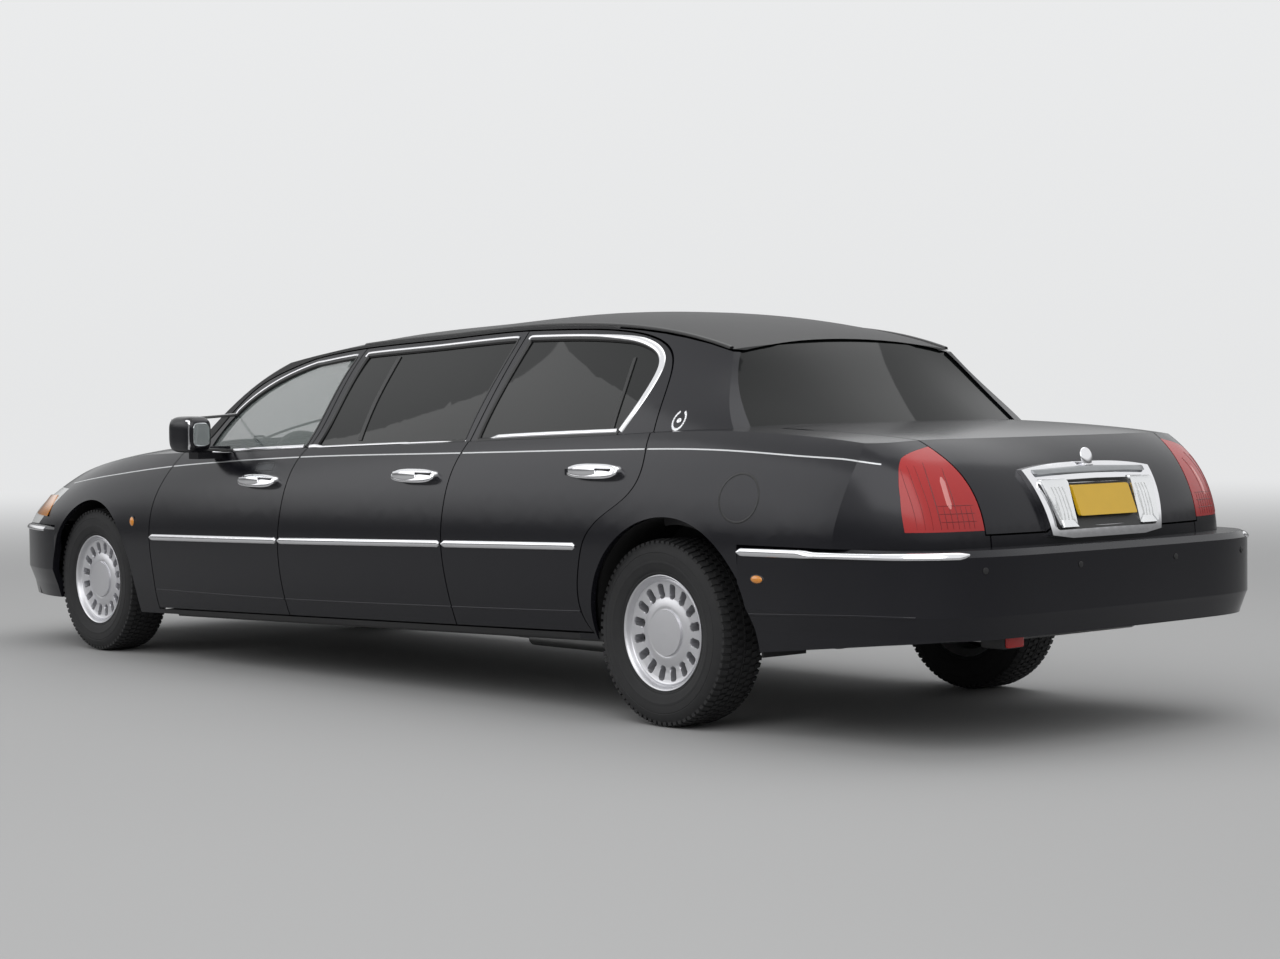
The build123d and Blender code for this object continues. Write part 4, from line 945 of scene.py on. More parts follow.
# ---------------------------------------------------------------------------------- sides
@dataclass(frozen=True)
class Strip:
    """A line or moulding along a side: its (x, z) course, its section and how it lies."""

    course: tuple
    width: float
    proud: float
    finish: Finish
    slot: str = "chrome"
    root: float = 0.0015
    steps: int = 8
    lift: float = 0.0
    hang: float = 0.0
    slant: float = 0.0
    steep: float = 0.55
    give: float = 0.0

    def section(self) -> list:
        """The section, hung below the course by a share of its width."""
        return [(a - self.hang * self.width, b)
                for a, b in half_round(self.width, self.proud, self.root, self.steps)]

    def widths(self, count: int, step: float) -> list | None:
        """Factors that taper both ends over the slant's length.

        Args:
            count: Points along the strip.
            step: The distance between two points.

        Returns:
            One factor for each point, or None for blunt ends.
        """
        if not self.slant:
            return None
        return [min(1.0, 0.25 + 0.75 * min(i, count - 1 - i) * step / self.slant) for i in range(count)]


BELT = Strip(((-1.70, 1.085), (-1.15, 1.067), (-0.6785, 1.048), (0.4265, 1.010), (1.41, 0.970)),
             0.019, 0.005, CHROME, lift=-0.004, hang=0.70, give=0.014)
MOULDING = Strip(((-1.64, 0.6585), (-0.6435, 0.634), (0.5335, 0.604), (1.85, 0.577)),
                 0.030, 0.008, CHROME, slant=0.014)
BUMPER_STRIP = Strip(((-3.27, 0.6785), (-2.36, 0.668)), 0.030, 0.008, CHROME, slant=0.012, steep=0.94)
PINSTRIPE = Strip(((-2.94, 0.981), (-2.82, 0.997), (-2.6135, 1.0065), (-2.1945, 1.0245), (-1.7335, 1.023),
                   (-0.6855, 0.998), (0.4555, 0.969), (1.4455, 0.919), (2.15, 0.858), (2.5695, 0.813)),
                  0.006, 0.0006, SILVER_LINE, root=0.0003, steps=4)
CREASE = Strip(((-3.28, 0.470), (-2.9845, 0.472), (-2.3945, 0.448), (-1.5465, 0.408), (-0.6585, 0.378),
                (0.5725, 0.345), (1.8305, 0.332)), 0.009, 0.0022, BLACK_PAINT, slot="black_paint")


@dataclass
class SideTrim(Assembly):
    """Bright lines, pulls, marker lamps and seams along both sides."""

    spans: tuple = (("door_front", 0.33, 1.70), ("door_middle", -0.82, 0.60), ("door_rear", -1.86, -0.60))
    moulding_end: float = -1.49
    belt_rear: float = -1.606
    belt_front: float = 1.405
    pulls: tuple = (("door_front", 0.7365, 0.862), ("door_middle", -0.429, 0.904),
                    ("door_rear", -1.564, 0.940))
    step: float = 0.008
    longest_gap: int = 12
    shortest_run: int = 40
    innermost: float = 0.62
    flap_middle: tuple = (-2.3635, 0.857)
    flap_half: tuple = (0.098, 0.086)
    wreath_middle: tuple = (-1.895, 1.128)
    wreath_half: tuple = (0.028, 0.034)

    def build(self) -> None:
        """Makes the pieces of both sides."""
        for door, low, high in self.spans:
            body = f"{door}_left"
            skin = Skin(self.frame, body)
            self._strip(f"moulding_{body}", skin, MOULDING, max(low, self.moulding_end), high, body)
            rear, front = max(low, self.belt_rear), min(high, self.belt_front)
            self._strip(f"belt_{body}", skin, BELT, rear, front, body)
            self._strip(f"line_{body}", skin, PINSTRIPE, low, high, body)
        quarter, fender = Skin(self.frame, "quarter_left"), Skin(self.frame, "fender_left")
        bumper = Skin(self.frame, "rear_bumper")
        self._strip("line_quarter_left", quarter, PINSTRIPE, -2.94, -1.70, "root")
        self._strip("line_fender_left", fender, PINSTRIPE, 1.40, 2.57, "root")
        self._strip("bumper_strip_left", bumper, BUMPER_STRIP, -3.262, -2.37, "root")
        for door, low, high in self.spans:
            body = f"{door}_left"
            self._strip(f"crease_{body}", Skin(self.frame, body), CREASE, low, high, body)
        self._strip("crease_bumper_left", bumper, CREASE, -3.22, -2.37, "root")
        self._fuel_flap(quarter)
        self._marker("marker_rear", bumper, (-2.4725, 0.576), 0.036, 0.017)
        self._marker("marker_front", fender, (1.7945, 0.650), 0.022, 0.026)
        for door, x, z in self.pulls:
            Handle(self.frame, Skin(self.frame, f"{door}_left"), door, x, z).build()
        self._wreath(quarter)
        self._keypad()

    def _strip(self, name: str, skin: Skin, strip: Strip, low: float, high: float, body: str) -> None:
        """Lays a strip along a side.

        Args:
            name: The left piece's name.
            skin: The surface it lies on.
            strip: Its course and section.
            low: Its lowest x.
            high: Its highest x.
            body: The left body it rides on.
        """
        course = [(p.x, p.z) for p in rounded_run([(x, 0.0, z) for x, z in strip.course])]
        spine, facing, misses = [], [], 0
        for x in np.arange(low, high, self.step):
            found = self._resting(skin, strip, float(x), between(course, float(x)) + strip.lift)
            if found:
                spine.append(found[0])
                facing.append(found[1])
            misses = 0 if found else misses + 1
            if misses > self.longest_gap and len(spine) >= self.shortest_run:
                break
            if misses > self.longest_gap:
                spine, facing = [], []
        if strip.give:
            spine = averaged(spine, 5)
        widths = strip.widths(len(spine), self.step)
        piece = sweep(name, spine, settled(facing), strip.section(), widths=widths)
        self.pair(piece, strip.finish, body, strip.slot)

    def _resting(self, skin: Skin, strip: Strip, x: float, z: float) -> tuple[Vector, Vector] | None:
        """Where a strip rests on the skin, a little lower where its course leaves the skin.

        Args:
            skin: The surface.
            strip: The strip.
            x: The place along the car.
            z: The course's height there.

        Returns:
            The point and its normal, or None.
        """
        for drop in np.arange(0.0, strip.give + 0.0005, 0.001):
            found = skin.side(x, z - float(drop))
            if not found or found[0].y <= self.innermost:
                continue
            if found[1].y > 0.08 and abs(found[1].x) < strip.steep:
                return found
        return None

    def _fuel_flap(self, skin: Skin) -> None:
        """The round flap's shut line, drawn as a narrow dark groove.

        Args:
            skin: The quarter's surface.
        """
        (x, z), (half_x, half_z) = self.flap_middle, self.flap_half
        turns = [2 * math.pi * k / 72 for k in range(72)]
        places = [(x + half_x * math.cos(turn), z + half_z * math.sin(turn)) for turn in turns]
        spine, facing = traced(skin.side, places)
        groove = sweep("fuel_flap_seam_left", spine, settled(facing), half_round(0.009, 0.0010, 0.001, 4),
                       closed=True)
        self.finish(groove, SEAM_BLACK, "root", "black_plastic")

    def _marker(self, name: str, skin: Skin, middle: tuple, half_long: float, half_high: float) -> None:
        """A small oval lamp with a dark rim and an amber lens.

        Args:
            name: The start of the pieces' names.
            skin: The surface it sits on.
            middle: Its (x, z) middle.
            half_long: Half its length.
            half_high: Half its height.
        """
        place, normal = skin.side(*middle)
        turn = (0, 0, math.atan2(-normal.x, normal.y))
        for word, grow, proud, finish, slot in (("rim", 1.0, 0.005, TRIM_BLACK, "black_plastic"),
                                                ("lens", 0.84, 0.011, AMBER_LENS, "clear_lens")):
            piece = ball(f"{name}_{word}_left", place, (half_long * grow, proud, half_high * grow), turn)
            smooth(piece)
            self.pair(piece, finish, "root", slot)

    def _wreath(self, skin: Skin) -> None:
        """A plain bright oval ring of leaves round a boss, on the rear pillar.

        Args:
            skin: The quarter's surface.
        """
        (x, z), (half_x, half_z) = self.wreath_middle, self.wreath_half
        pieces = []
        for k in range(20):
            turn = math.radians(120 + 300 * k / 19)
            place, normal = skin.side(x + half_x * math.cos(turn), z + half_z * math.sin(turn))
            lean = normal.to_track_quat("Z", "X").to_euler()
            pieces.append(ball(f"leaf_{k}", place, (0.0075, 0.0040, 0.0022), lean, 12))
        place, normal = skin.side(x, z)
        lean = normal.to_track_quat("Z", "X").to_euler()
        pieces.append(ball("boss", place, (0.011, 0.011, 0.003), lean, 24))
        ring = joined("pillar_wreath_left", pieces)
        smooth(ring)
        self.pair(ring, CHROME, "root", "chrome")

    def _keypad(self) -> None:
        """The outline of a small entry pad above the front pull."""
        skin = Skin(self.frame, "door_front_left")
        loop = [(0.800, 0.903), (0.800, 0.936), (0.660, 0.942), (0.660, 0.909)]
        places = [(xa + (xb - xa) * k / 8, za + (zb - za) * k / 8)
                  for (xa, za), (xb, zb) in zip(loop, loop[1:] + loop[:1]) for k in range(8)]
        spine, facing = traced(skin.side, places)
        section = half_round(0.004, 0.0006, 0.0006, 4)
        seam = sweep("keypad_seam", spine, settled(facing, 1), section, closed=True)
        self.finish(seam, SEAM_BLACK, "door_front_left", "black_plastic")


@dataclass
class Handle(Assembly):
    """One door's pull: an oval plate over its solid core, and a bowed grip."""

    skin: Skin
    door: str
    x: float
    z: float
    half: float = 0.147
    tall: float = 0.029
    standout: float = 0.0315
    core_half: float = 0.045
    crown: float = 0.004
    hollow: float = 0.002
    edge: float = 0.008
    rear_power: float = 0.62
    front_power: float = 0.80
    upright_power: float = 0.72
    grip_half: tuple = (0.019, 0.0055)
    grip_bow: float = 0.008
    points_round: int = 64

    def build(self) -> None:
        """Makes the plate and the grip."""
        self._plate()
        self._grip()

    def _outline(self, grow: float) -> list:
        """The plate's outline: a long rounded form, blunter at the rear.

        Args:
            grow: How far it is grown.

        Returns:
            (x, z) points around.
        """
        points = []
        for k in range(self.points_round):
            turn = 2 * math.pi * k / self.points_round
            cos, sin = math.cos(turn), math.sin(turn)
            power = self.rear_power if cos < 0 else self.front_power
            points.append((self.x + (self.half + grow) * powered(cos, power),
                           self.z + (self.tall + grow) * powered(sin, self.upright_power)))
        return points

    def _surface(self, x: float, z: float) -> float:
        """The bare door's y at a place, read above and below the pull's solid core."""
        above = self.skin.side(x, self.z + self.core_half)[0].y
        below = self.skin.side(x, self.z - self.core_half)[0].y
        share = (z - self.z + self.core_half) / (2 * self.core_half)
        return below + (above - below) * share

    def _plate(self) -> None:
        """The plate, crowned in its middle and slightly hollowed at the front."""
        out = self.standout
        points = []
        for grow, proud in ((0.0, -0.004), (0.0, out - 0.008), (-0.002, out - 0.003), (-self.edge, out)):
            points += [(x, self._surface(x, z) + proud, z) for x, z in self._outline(grow)]
        for share in (0.75, 0.5, 0.25):
            for edge_x, edge_z in self._outline(-self.edge):
                x, z = self.x + (edge_x - self.x) * share, self.z + (edge_z - self.z) * share
                proud = out + self.crown * (1 - share) - self._hollow_at(x, z)
                points.append((x, self._surface(x, z) + proud, z))
        faces = ring_faces(len(points) // self.points_round, self.points_round)
        plate = mesh_piece(f"pull_plate_{self.door}_left", points, faces)
        smooth(plate, 50)
        self.pair(plate, CHROME, f"{self.door}_left", "chrome")

    def _hollow_at(self, x: float, z: float) -> float:
        """How deep the plate is hollowed for fingers at a place."""
        along = (x - self.x - self.half * 0.25) / (self.half * 0.62)
        up = (z - self.z) / (self.tall * 0.6)
        if abs(along) >= 1 or abs(up) >= 1:
            return 0.0
        return self.hollow * (1 - along ** 2) * (1 - up ** 2)

    def _grip(self) -> None:
        """The grip, a bowed bar with room for fingers behind it."""
        steps, round_steps = 20, 16
        spine, widths = [], []
        for k in range(steps + 1):
            share = k / steps
            x, z = self.x - self.half * 0.22 + self.half * 1.05 * share, self.z + 0.002
            bow = self.standout + 0.002 + self.grip_bow * math.sin(math.pi * share)
            spine.append(Vector((x, self._surface(x, z) + bow, z)))
            widths.append(0.55 + 0.45 * math.sin(math.pi * (0.12 + 0.76 * share)))
        turns = [2 * math.pi * k / round_steps for k in range(round_steps)]
        section = [(self.grip_half[0] * math.cos(turn), self.grip_half[1] * math.sin(turn)) for turn in turns]
        facing = [Vector((0, 1, 0))] * len(spine)
        grip = sweep(f"pull_grip_{self.door}_left", spine, facing, section, widths=widths)
        self.pair(grip, CHROME, f"{self.door}_left", "chrome")


@dataclass
class SideWindows(Assembly):
    """Bright surrounds, rubber seals and division bars of the side windows."""

    middles: tuple = (("door_front", (0.80, 1.16)), ("door_middle", (-0.20, 1.24)),
                      ("door_rear", (-1.20, 1.27)))
    bars: tuple = (
        ("door_middle", "glass_middle_left", ((0.070, 1.398), (0.092, 1.22), (0.100, 1.041)), 0.026),
        ("door_rear", "glass_rear_left", ((-1.500, 1.366), (-1.532, 1.23), (-1.550, 1.085)), 0.016),
    )
    innermost: float = 0.58
    points_round: int = 480
    search_step: float = 0.012
    nearest: float = 0.05
    farthest: float = 0.9
    seal_out: float = 0.0035
    seal: tuple = ((0.004, -0.006), (0.004, 0.0015), (-0.006, 0.0015), (-0.011, -0.004), (-0.011, -0.007))
    band_out: float = 0.0125
    band_wide: float = 0.016
    band_proud: float = 0.005

    def build(self) -> None:
        """Makes all the windows' trim."""
        for door, middle in self.middles:
            skin = Skin(self.frame, f"{door}_left")
            edge = self._opening(skin, middle)
            self._seal(door, skin, edge)
            self._bright(door, skin, edge, middle)
        for door, glass, course, width in self.bars:
            self._bar(door, glass, course, width)

    def _opening(self, skin: Skin, middle: tuple) -> list[tuple[float, float]]:
        """A window opening's edge, found from its middle outwards.

        Args:
            skin: The door.
            middle: The (x, z) middle.

        Returns:
            (x, z) points around, starting ahead and going up.
        """
        def solid(reach: float, cos: float, sin: float) -> bool:
            """Whether the door is solid at a distance from the middle."""
            found = skin.side(middle[0] + reach * cos, middle[1] + reach * sin)
            return bool(found and found[0].y > self.innermost)

        edge = []
        for k in range(self.points_round):
            turn = 2 * math.pi * k / self.points_round
            cos, sin = math.cos(turn), math.sin(turn)
            reach = self.nearest
            while reach < self.farthest and not solid(reach, cos, sin):
                reach += self.search_step
            low, high = reach - self.search_step, reach
            for _ in range(7):
                half = (low + high) / 2
                low, high = (low, half) if solid(half, cos, sin) else (half, high)
            edge.append((middle[0] + high * cos, middle[1] + high * sin))
        return edge

    @staticmethod
    def _grown(edge: list, by: float) -> list[tuple[float, float]]:
        """An outline moved outwards.

        Args:
            edge: (x, z) points around, turning left.
            by: How far.

        Returns:
            The moved outline.
        """
        out, count = [], len(edge)
        for i, (x, z) in enumerate(edge):
            ax, az = edge[i - 3]
            bx, bz = edge[(i + 3) % count]
            length = math.hypot(bx - ax, bz - az) or 1.0
            out.append((x + (bz - az) / length * by, z - (bx - ax) / length * by))
        return out

    def _laid(self, skin: Skin, course: list) -> tuple[list, list]:
        """Places a course on the door's outer surface.

        Args:
            skin: The door.
            course: (x, z) points.

        Returns:
            Points and normals.
        """
        def outer(found: tuple) -> bool:
            """Whether a finding is on the outer surface."""
            return found[0].y >= self.innermost and found[1].y >= 0.3

        spine, facing = traced(skin.side, course, outer)
        return spine, settled(facing, 6)

    def _seal(self, door: str, skin: Skin, edge: list) -> None:
        """The black rubber round a window.

        Args:
            door: The door's name.
            skin: Its surface.
            edge: The opening.
        """
        spine, facing = self._laid(skin, self._grown(edge, self.seal_out))
        seal = sweep(f"window_seal_{door}_left", spine, facing, self.seal, closed=True)
        self.pair(seal, SEAM_BLACK, f"{door}_left", "black_plastic")

    def _bright(self, door: str, skin: Skin, edge: list, middle: tuple) -> None:
        """The bright band along the head of the window, and down behind the rear one.

        Args:
            door: The door's name.
            skin: Its surface.
            edge: The opening.
            middle: The opening's middle.
        """
        widths = [self._band_width(door, edge, i, middle) for i in range(len(edge))]
        kept = [width > 0 for width in widths]
        gaps = [i for i, keep in enumerate(kept) if not keep]
        start = max(gaps, key=lambda i: self._free_run(kept, i)) + 1
        order = [(start + i) % len(kept) for i in range(self._free_run(kept, start - 1))]
        head = self._grown(edge, self.band_out)
        spine, facing = self._laid(skin, [head[i] for i in order])
        widths = averaged([widths[i] for i in order][:len(spine)], 8)
        section = half_round(self.band_wide, self.band_proud)
        band = sweep(f"window_bright_{door}_left", spine, facing, section, widths=widths)
        self.pair(band, CHROME, f"{door}_left", "chrome")

    @staticmethod
    def _band_width(door: str, edge: list, i: int, middle: tuple) -> float:
        """How wide the bright band is beside a point of the opening's edge.

        Args:
            door: The door's name.
            edge: The opening.
            i: The point's number.
            middle: The opening's middle.

        Returns:
            A factor on the band's width, 0 where there is no band.
        """
        x, z = edge[i]
        (ax, az), (bx, bz) = edge[i - 4], edge[(i + 4) % len(edge)]
        level = abs(bx - ax) / (math.hypot(bx - ax, bz - az) or 1.0)
        above = z > middle[1] + 0.06 and level > 0.75
        if door == "door_rear":
            behind = x < middle[0] - 0.2 and z > 1.092
            broad = 0.85 + 1.0 * min(1.0, max(0.0, (-1.25 - x) / 0.28))
            return broad if behind or (above and x < -0.775) else 0.0
        pillar = door == "door_front" and x > middle[0] and z > 0.992
        return 0.8 if above or pillar else 0.0

    @staticmethod
    def _free_run(kept: list, gap: int) -> int:
        """How many kept points follow a gap."""
        count, size = 0, len(kept)
        while count < size and kept[(gap + 1 + count) % size]:
            count += 1
        return count

    def _bar(self, door: str, glass: str, course: tuple, width: float) -> None:
        """A dark bar that divides a window.

        Args:
            door: The door's name.
            glass: The glass's node.
            course: Its (x, z) points.
            width: Its width.
        """
        skin = Skin(self.frame, glass)
        places = [(place.x, place.z) for place in rounded_run([(x, 0, z) for x, z in course], 6)]
        spine, facing = traced(skin.side, places)
        section = [(-width / 2, -0.002), (-width / 2, 0.004), (width / 2, 0.004), (width / 2, -0.002)]
        bar = sweep(f"window_bar_{door}_left", spine, settled(facing), section)
        self.pair(bar, SEAM_BLACK, f"{door}_left", "black_plastic")


# ---------------------------------------------------------------------------------- wheels
@dataclass
class Wheels(Assembly):
    """Slotted bright wheels with treaded tyres, and liners behind the rear ones."""

    places: tuple = (("rear_left", -1.9015, 0.8295), ("front_left", 2.2825, 0.8045))
    outer: float = 0.3478
    clearance: float = 0.0002
    carcass: float = 0.341
    carcass_steps: int = 120
    wall: tuple = ((0.2135, 0.084), (0.2165, 0.091), (0.2225, 0.0945), (0.2265, 0.0945), (0.2305, 0.0985),
                   (0.238, 0.1015), (0.250, 0.1065), (0.258, 0.1085), (0.2595, 0.1095), (0.2665, 0.1098),
                   (0.268, 0.1090), (0.280, 0.1105), (0.2945, 0.1100), (0.2960, 0.1085), (0.2980, 0.1085),
                   (0.2995, 0.1098), (0.306, 0.1085), (0.314, 0.1060), (0.322, 0.1020), (0.329, 0.0975),
                   (0.3345, 0.0925), (0.338, 0.086), (0.341, 0.074))
    tread_blocks: int = 76
    tread_rows: tuple = ((-0.0985, -0.068, 0.62, 0.0, -0.0072), (-0.062, -0.038, 0.66, 0.5, -0.0002),
                         (-0.033, -0.008, 0.62, 0.0, 0.0), (-0.003, 0.003, 1.02, 0.0, 0.0),
                         (0.008, 0.033, 0.62, 0.5, 0.0), (0.038, 0.062, 0.66, 0.0, -0.0002),
                         (0.068, 0.0985, 0.62, 0.5, -0.0072))
    shoulder: float = 0.065
    block_skew: float = 0.010
    block_top: float = 0.94
    slots: int = 16
    slot_low: float = 0.128
    slot_high: float = 0.181
    slot_round: float = 0.011
    slot_half: float = 0.0128
    slot_widening: float = 0.003
    slot_deep: float = 0.042
    floor_depth: float = 0.97
    cap_height: float = 0.0831
    face_run: tuple = ((0.0, 0.083), (0.060, 0.0815), (0.0835, 0.0800), (0.0850, 0.0800), (0.0865, 0.0725),
                       (0.0885, 0.0720), (0.094, 0.0735), (0.110, 0.0715), (0.122, 0.068), (0.130, 0.0655),
                       (0.150, 0.0655), (0.176, 0.0690), (0.186, 0.0715), (0.190, 0.0735), (0.1935, 0.0700),
                       (0.197, 0.0690), (0.2005, 0.0740), (0.204, 0.0830), (0.2085, 0.0910),
                       (0.2125, 0.0935), (0.2145, 0.0925))
    hub_radii: tuple = (0.004, 0.02, 0.04, 0.060, 0.075, 0.0820, 0.0835, 0.0850, 0.0857, 0.0865, 0.0885,
                        0.091, 0.094, 0.100, 0.110, 0.118, 0.122)
    edge_radii: tuple = (0.188, 0.190, 0.1935, 0.197, 0.1985, 0.2005, 0.202, 0.204, 0.206, 0.2085, 0.2105,
                         0.2125, 0.2138, 0.2145)
    barrel: tuple = ((0.2125, 0.0800), (0.200, 0.074), (0.197, 0.050), (0.192, 0.020), (0.190, -0.060),
                     (0.200, -0.078), (0.2105, -0.084), (0.2145, -0.092), (0.2125, -0.0935),
                     (0.203, -0.086), (0.184, -0.070), (0.182, 0.010), (0.170, 0.018), (0.060, 0.018),
                     (0.004, 0.018))
    barrel_steps: int = 96
    # Barrel rings past this one take the dark finish as painted shade.
    painted_shade_after: int = 10
    liner_middle: Point = (-1.9845, 0.850, 0.330)
    liner_thick: float = 0.006
    liner_inner: float = 0.430
    liner_outer: float = 0.530
    liner_start: float = 72.0
    liner_turn: float = 108.0
    liner_steps: int = 40

    def build(self) -> None:
        """Makes four tyres, four wheels and two liners."""
        for word, x, y in self.places:
            middle = (x, y, self.outer + self.clearance)
            tyre = self._tyre(f"tyre_{word}_outer", middle)
            rim = self._rim(f"rim_{word}_outer", middle)
            self.pair(tyre, TYRE_RUBBER, f"wheel_{word}", "tyre", f"tyre_{word}")
            self.pair(rim, ALLOY, f"wheel_{word}", "alloy", f"rim_{word}")
        self._liners()

    def _liners(self) -> None:
        """A liner behind each rear wheel, closing the way between its housing and the skin."""
        points = []
        for i in range(self.liner_steps + 1):
            turn = math.radians(self.liner_start + self.liner_turn * i / self.liner_steps)
            inner, outer = self.liner_inner - 0.045 * min(1.0, i / 14), self.liner_outer
            thick = self.liner_thick
            for reach, along in ((inner, 0.0), (inner, thick), (outer, thick), (outer, 0.0)):
                points.append(round_axis(self.liner_middle, reach, along, turn))
        liner = mesh_piece("wheel_liner_left", points, ring_faces(self.liner_steps + 1, 4))
        self.pair(liner, TRIM_BLACK, "root", "black_plastic")

    def _tyre(self, name: str, middle: Point) -> bpy.types.Object:
        """A tyre: a turned carcass and blocks of tread.

        Args:
            name: The piece's name.
            middle: The wheel's middle.

        Returns:
            The tyre.
        """
        outline = [*self.wall, (self.carcass + 0.001, 0.0), *[(r, -a) for r, a in reversed(self.wall)]]
        outline += [(0.2085, -0.080), (0.2085, 0.080)]
        carcass = lathe(name, outline, self.carcass_steps, middle)
        tread = self._tread(f"{name}_tread", middle)
        smooth(carcass, 30)
        return joined(name, [carcass, tread])

    def _tread(self, name: str, middle: Point) -> bpy.types.Object:
        """The tread's blocks, in rows round the tyre.

        Args:
            name: The piece's name.
            middle: The wheel's middle.

        Returns:
            The blocks.
        """
        points, faces = [], []
        for low, high, share, offset, drop in self.tread_rows:
            wide = math.pi / self.tread_blocks * share
            skew = self.block_skew if abs(low) <= self.shoulder else 0.0
            ends = ((low, drop if low < -self.shoulder else 0.0),
                    (high, drop if high > self.shoulder else 0.0))
            for step in range(self.tread_blocks):
                turn = 2 * math.pi * (step + offset) / self.tread_blocks
                base = len(points)
                for top in (False, True):
                    for along, lower in ends:
                        radius = self.outer + lower if top else self.carcass - 0.012 + 0.2 * lower
                        for way in (-1, 1):
                            taper = self.block_top if top else 1.0
                            angle = turn + way * wide * taper + skew * (along / 0.03)
                            points.append(round_axis(middle, radius, along, angle))
                faces += [tuple(base + i for i in quad) for quad in
                          ((4, 5, 7, 6), (0, 2, 6, 4), (1, 5, 7, 3), (0, 4, 5, 1), (2, 3, 7, 6))]
        return mesh_piece(name, points, faces)

    def _slot_depth(self, radius: float, turn: float) -> float:
        """How deep the wheel's face is let in at a place.

        Args:
            radius: Distance from the hub.
            turn: Angle round it.

        Returns:
            A share from 0 to 1.
        """
        pitch = 2 * math.pi / self.slots
        off = (turn / pitch - math.floor(turn / pitch) - 0.5) * pitch
        low, high = self.slot_low, self.slot_high
        half = self.slot_half + self.slot_widening * (radius - low) / (high - low)
        aside = max(abs(off) * radius - (half - self.slot_round), 0.0)
        beyond = max(abs(radius - (low + high) / 2) - ((high - low) / 2 - self.slot_round), 0.0)
        away = math.hypot(aside, beyond) - self.slot_round
        return min(1.0, max(0.0, (0.0012 - away) / 0.0030))

    def _rim(self, name: str, middle: Point) -> bpy.types.Object:
        """A wheel: a face with slots between fins, a round cap, and a barrel.

        Args:
            name: The piece's name.
            middle: The wheel's middle.

        Returns:
            The wheel, its slots' floors and inner barrel in a dark finish: painted shade for the shaded
            inside of the wheel.
        """
        radii = [*self.hub_radii, *np.arange(0.1245, 0.186, 0.0013), *self.edge_radii]
        pitch = 2 * math.pi / self.slots
        shares = sorted({round(s, 4) for s in (*np.linspace(0, 1, 17), *np.linspace(0.24, 0.36, 9),
                                               *np.linspace(0.64, 0.76, 9))})[:-1]
        turns = [pitch * (k + s) for k in range(self.slots) for s in shares]
        points, depths = [], []
        for radius in radii:
            height = between(self.face_run, radius)
            for turn in turns:
                depths.append(self._slot_depth(radius, turn) if 0.124 < radius < 0.187 else 0.0)
                points.append(round_axis(middle, radius, height - self.slot_deep * depths[-1], turn))
        count = len(turns)
        faces = sides(len(radii), count)
        # Slot floors deeper than floor_depth take the dark finish: painted shade standing for the shaded
        # inside seen through the slots.
        dark = [min(depths[i] for i in face) > self.floor_depth for face in faces]
        points.append((middle[0], middle[1] + self.cap_height, middle[2]))
        faces += [(len(points) - 1, (j + 1) % count, j) for j in range(count)]
        dark += [False] * count
        base, ring = len(points), self.barrel_steps
        points += [round_axis(middle, radius, along, 2 * math.pi * k / ring)
                   for radius, along in self.barrel for k in range(ring)]
        faces += [tuple(base + i for i in face) for face in sides(len(self.barrel), ring)]
        # The inner barrel and the back take the dark finish too, as painted shade.
        dark += [i > self.painted_shade_after for i in range(len(self.barrel) - 1) for _ in range(ring)]
        faces.append(tuple(base + (len(self.barrel) - 1) * ring + k for k in range(ring)))
        dark.append(True)
        piece = mesh_piece(name, points, faces, merge=False)
        data = piece.data
        data.materials.append(ALLOY.material())
        data.materials.append(TRIM_BLACK.material())
        data.polygons.foreach_set("material_index", [int(flag) for flag in dark])
        if data.polygons[5 * count].normal.y < 0:
            data.flip_normals()
        smooth(piece, 38)
        return piece


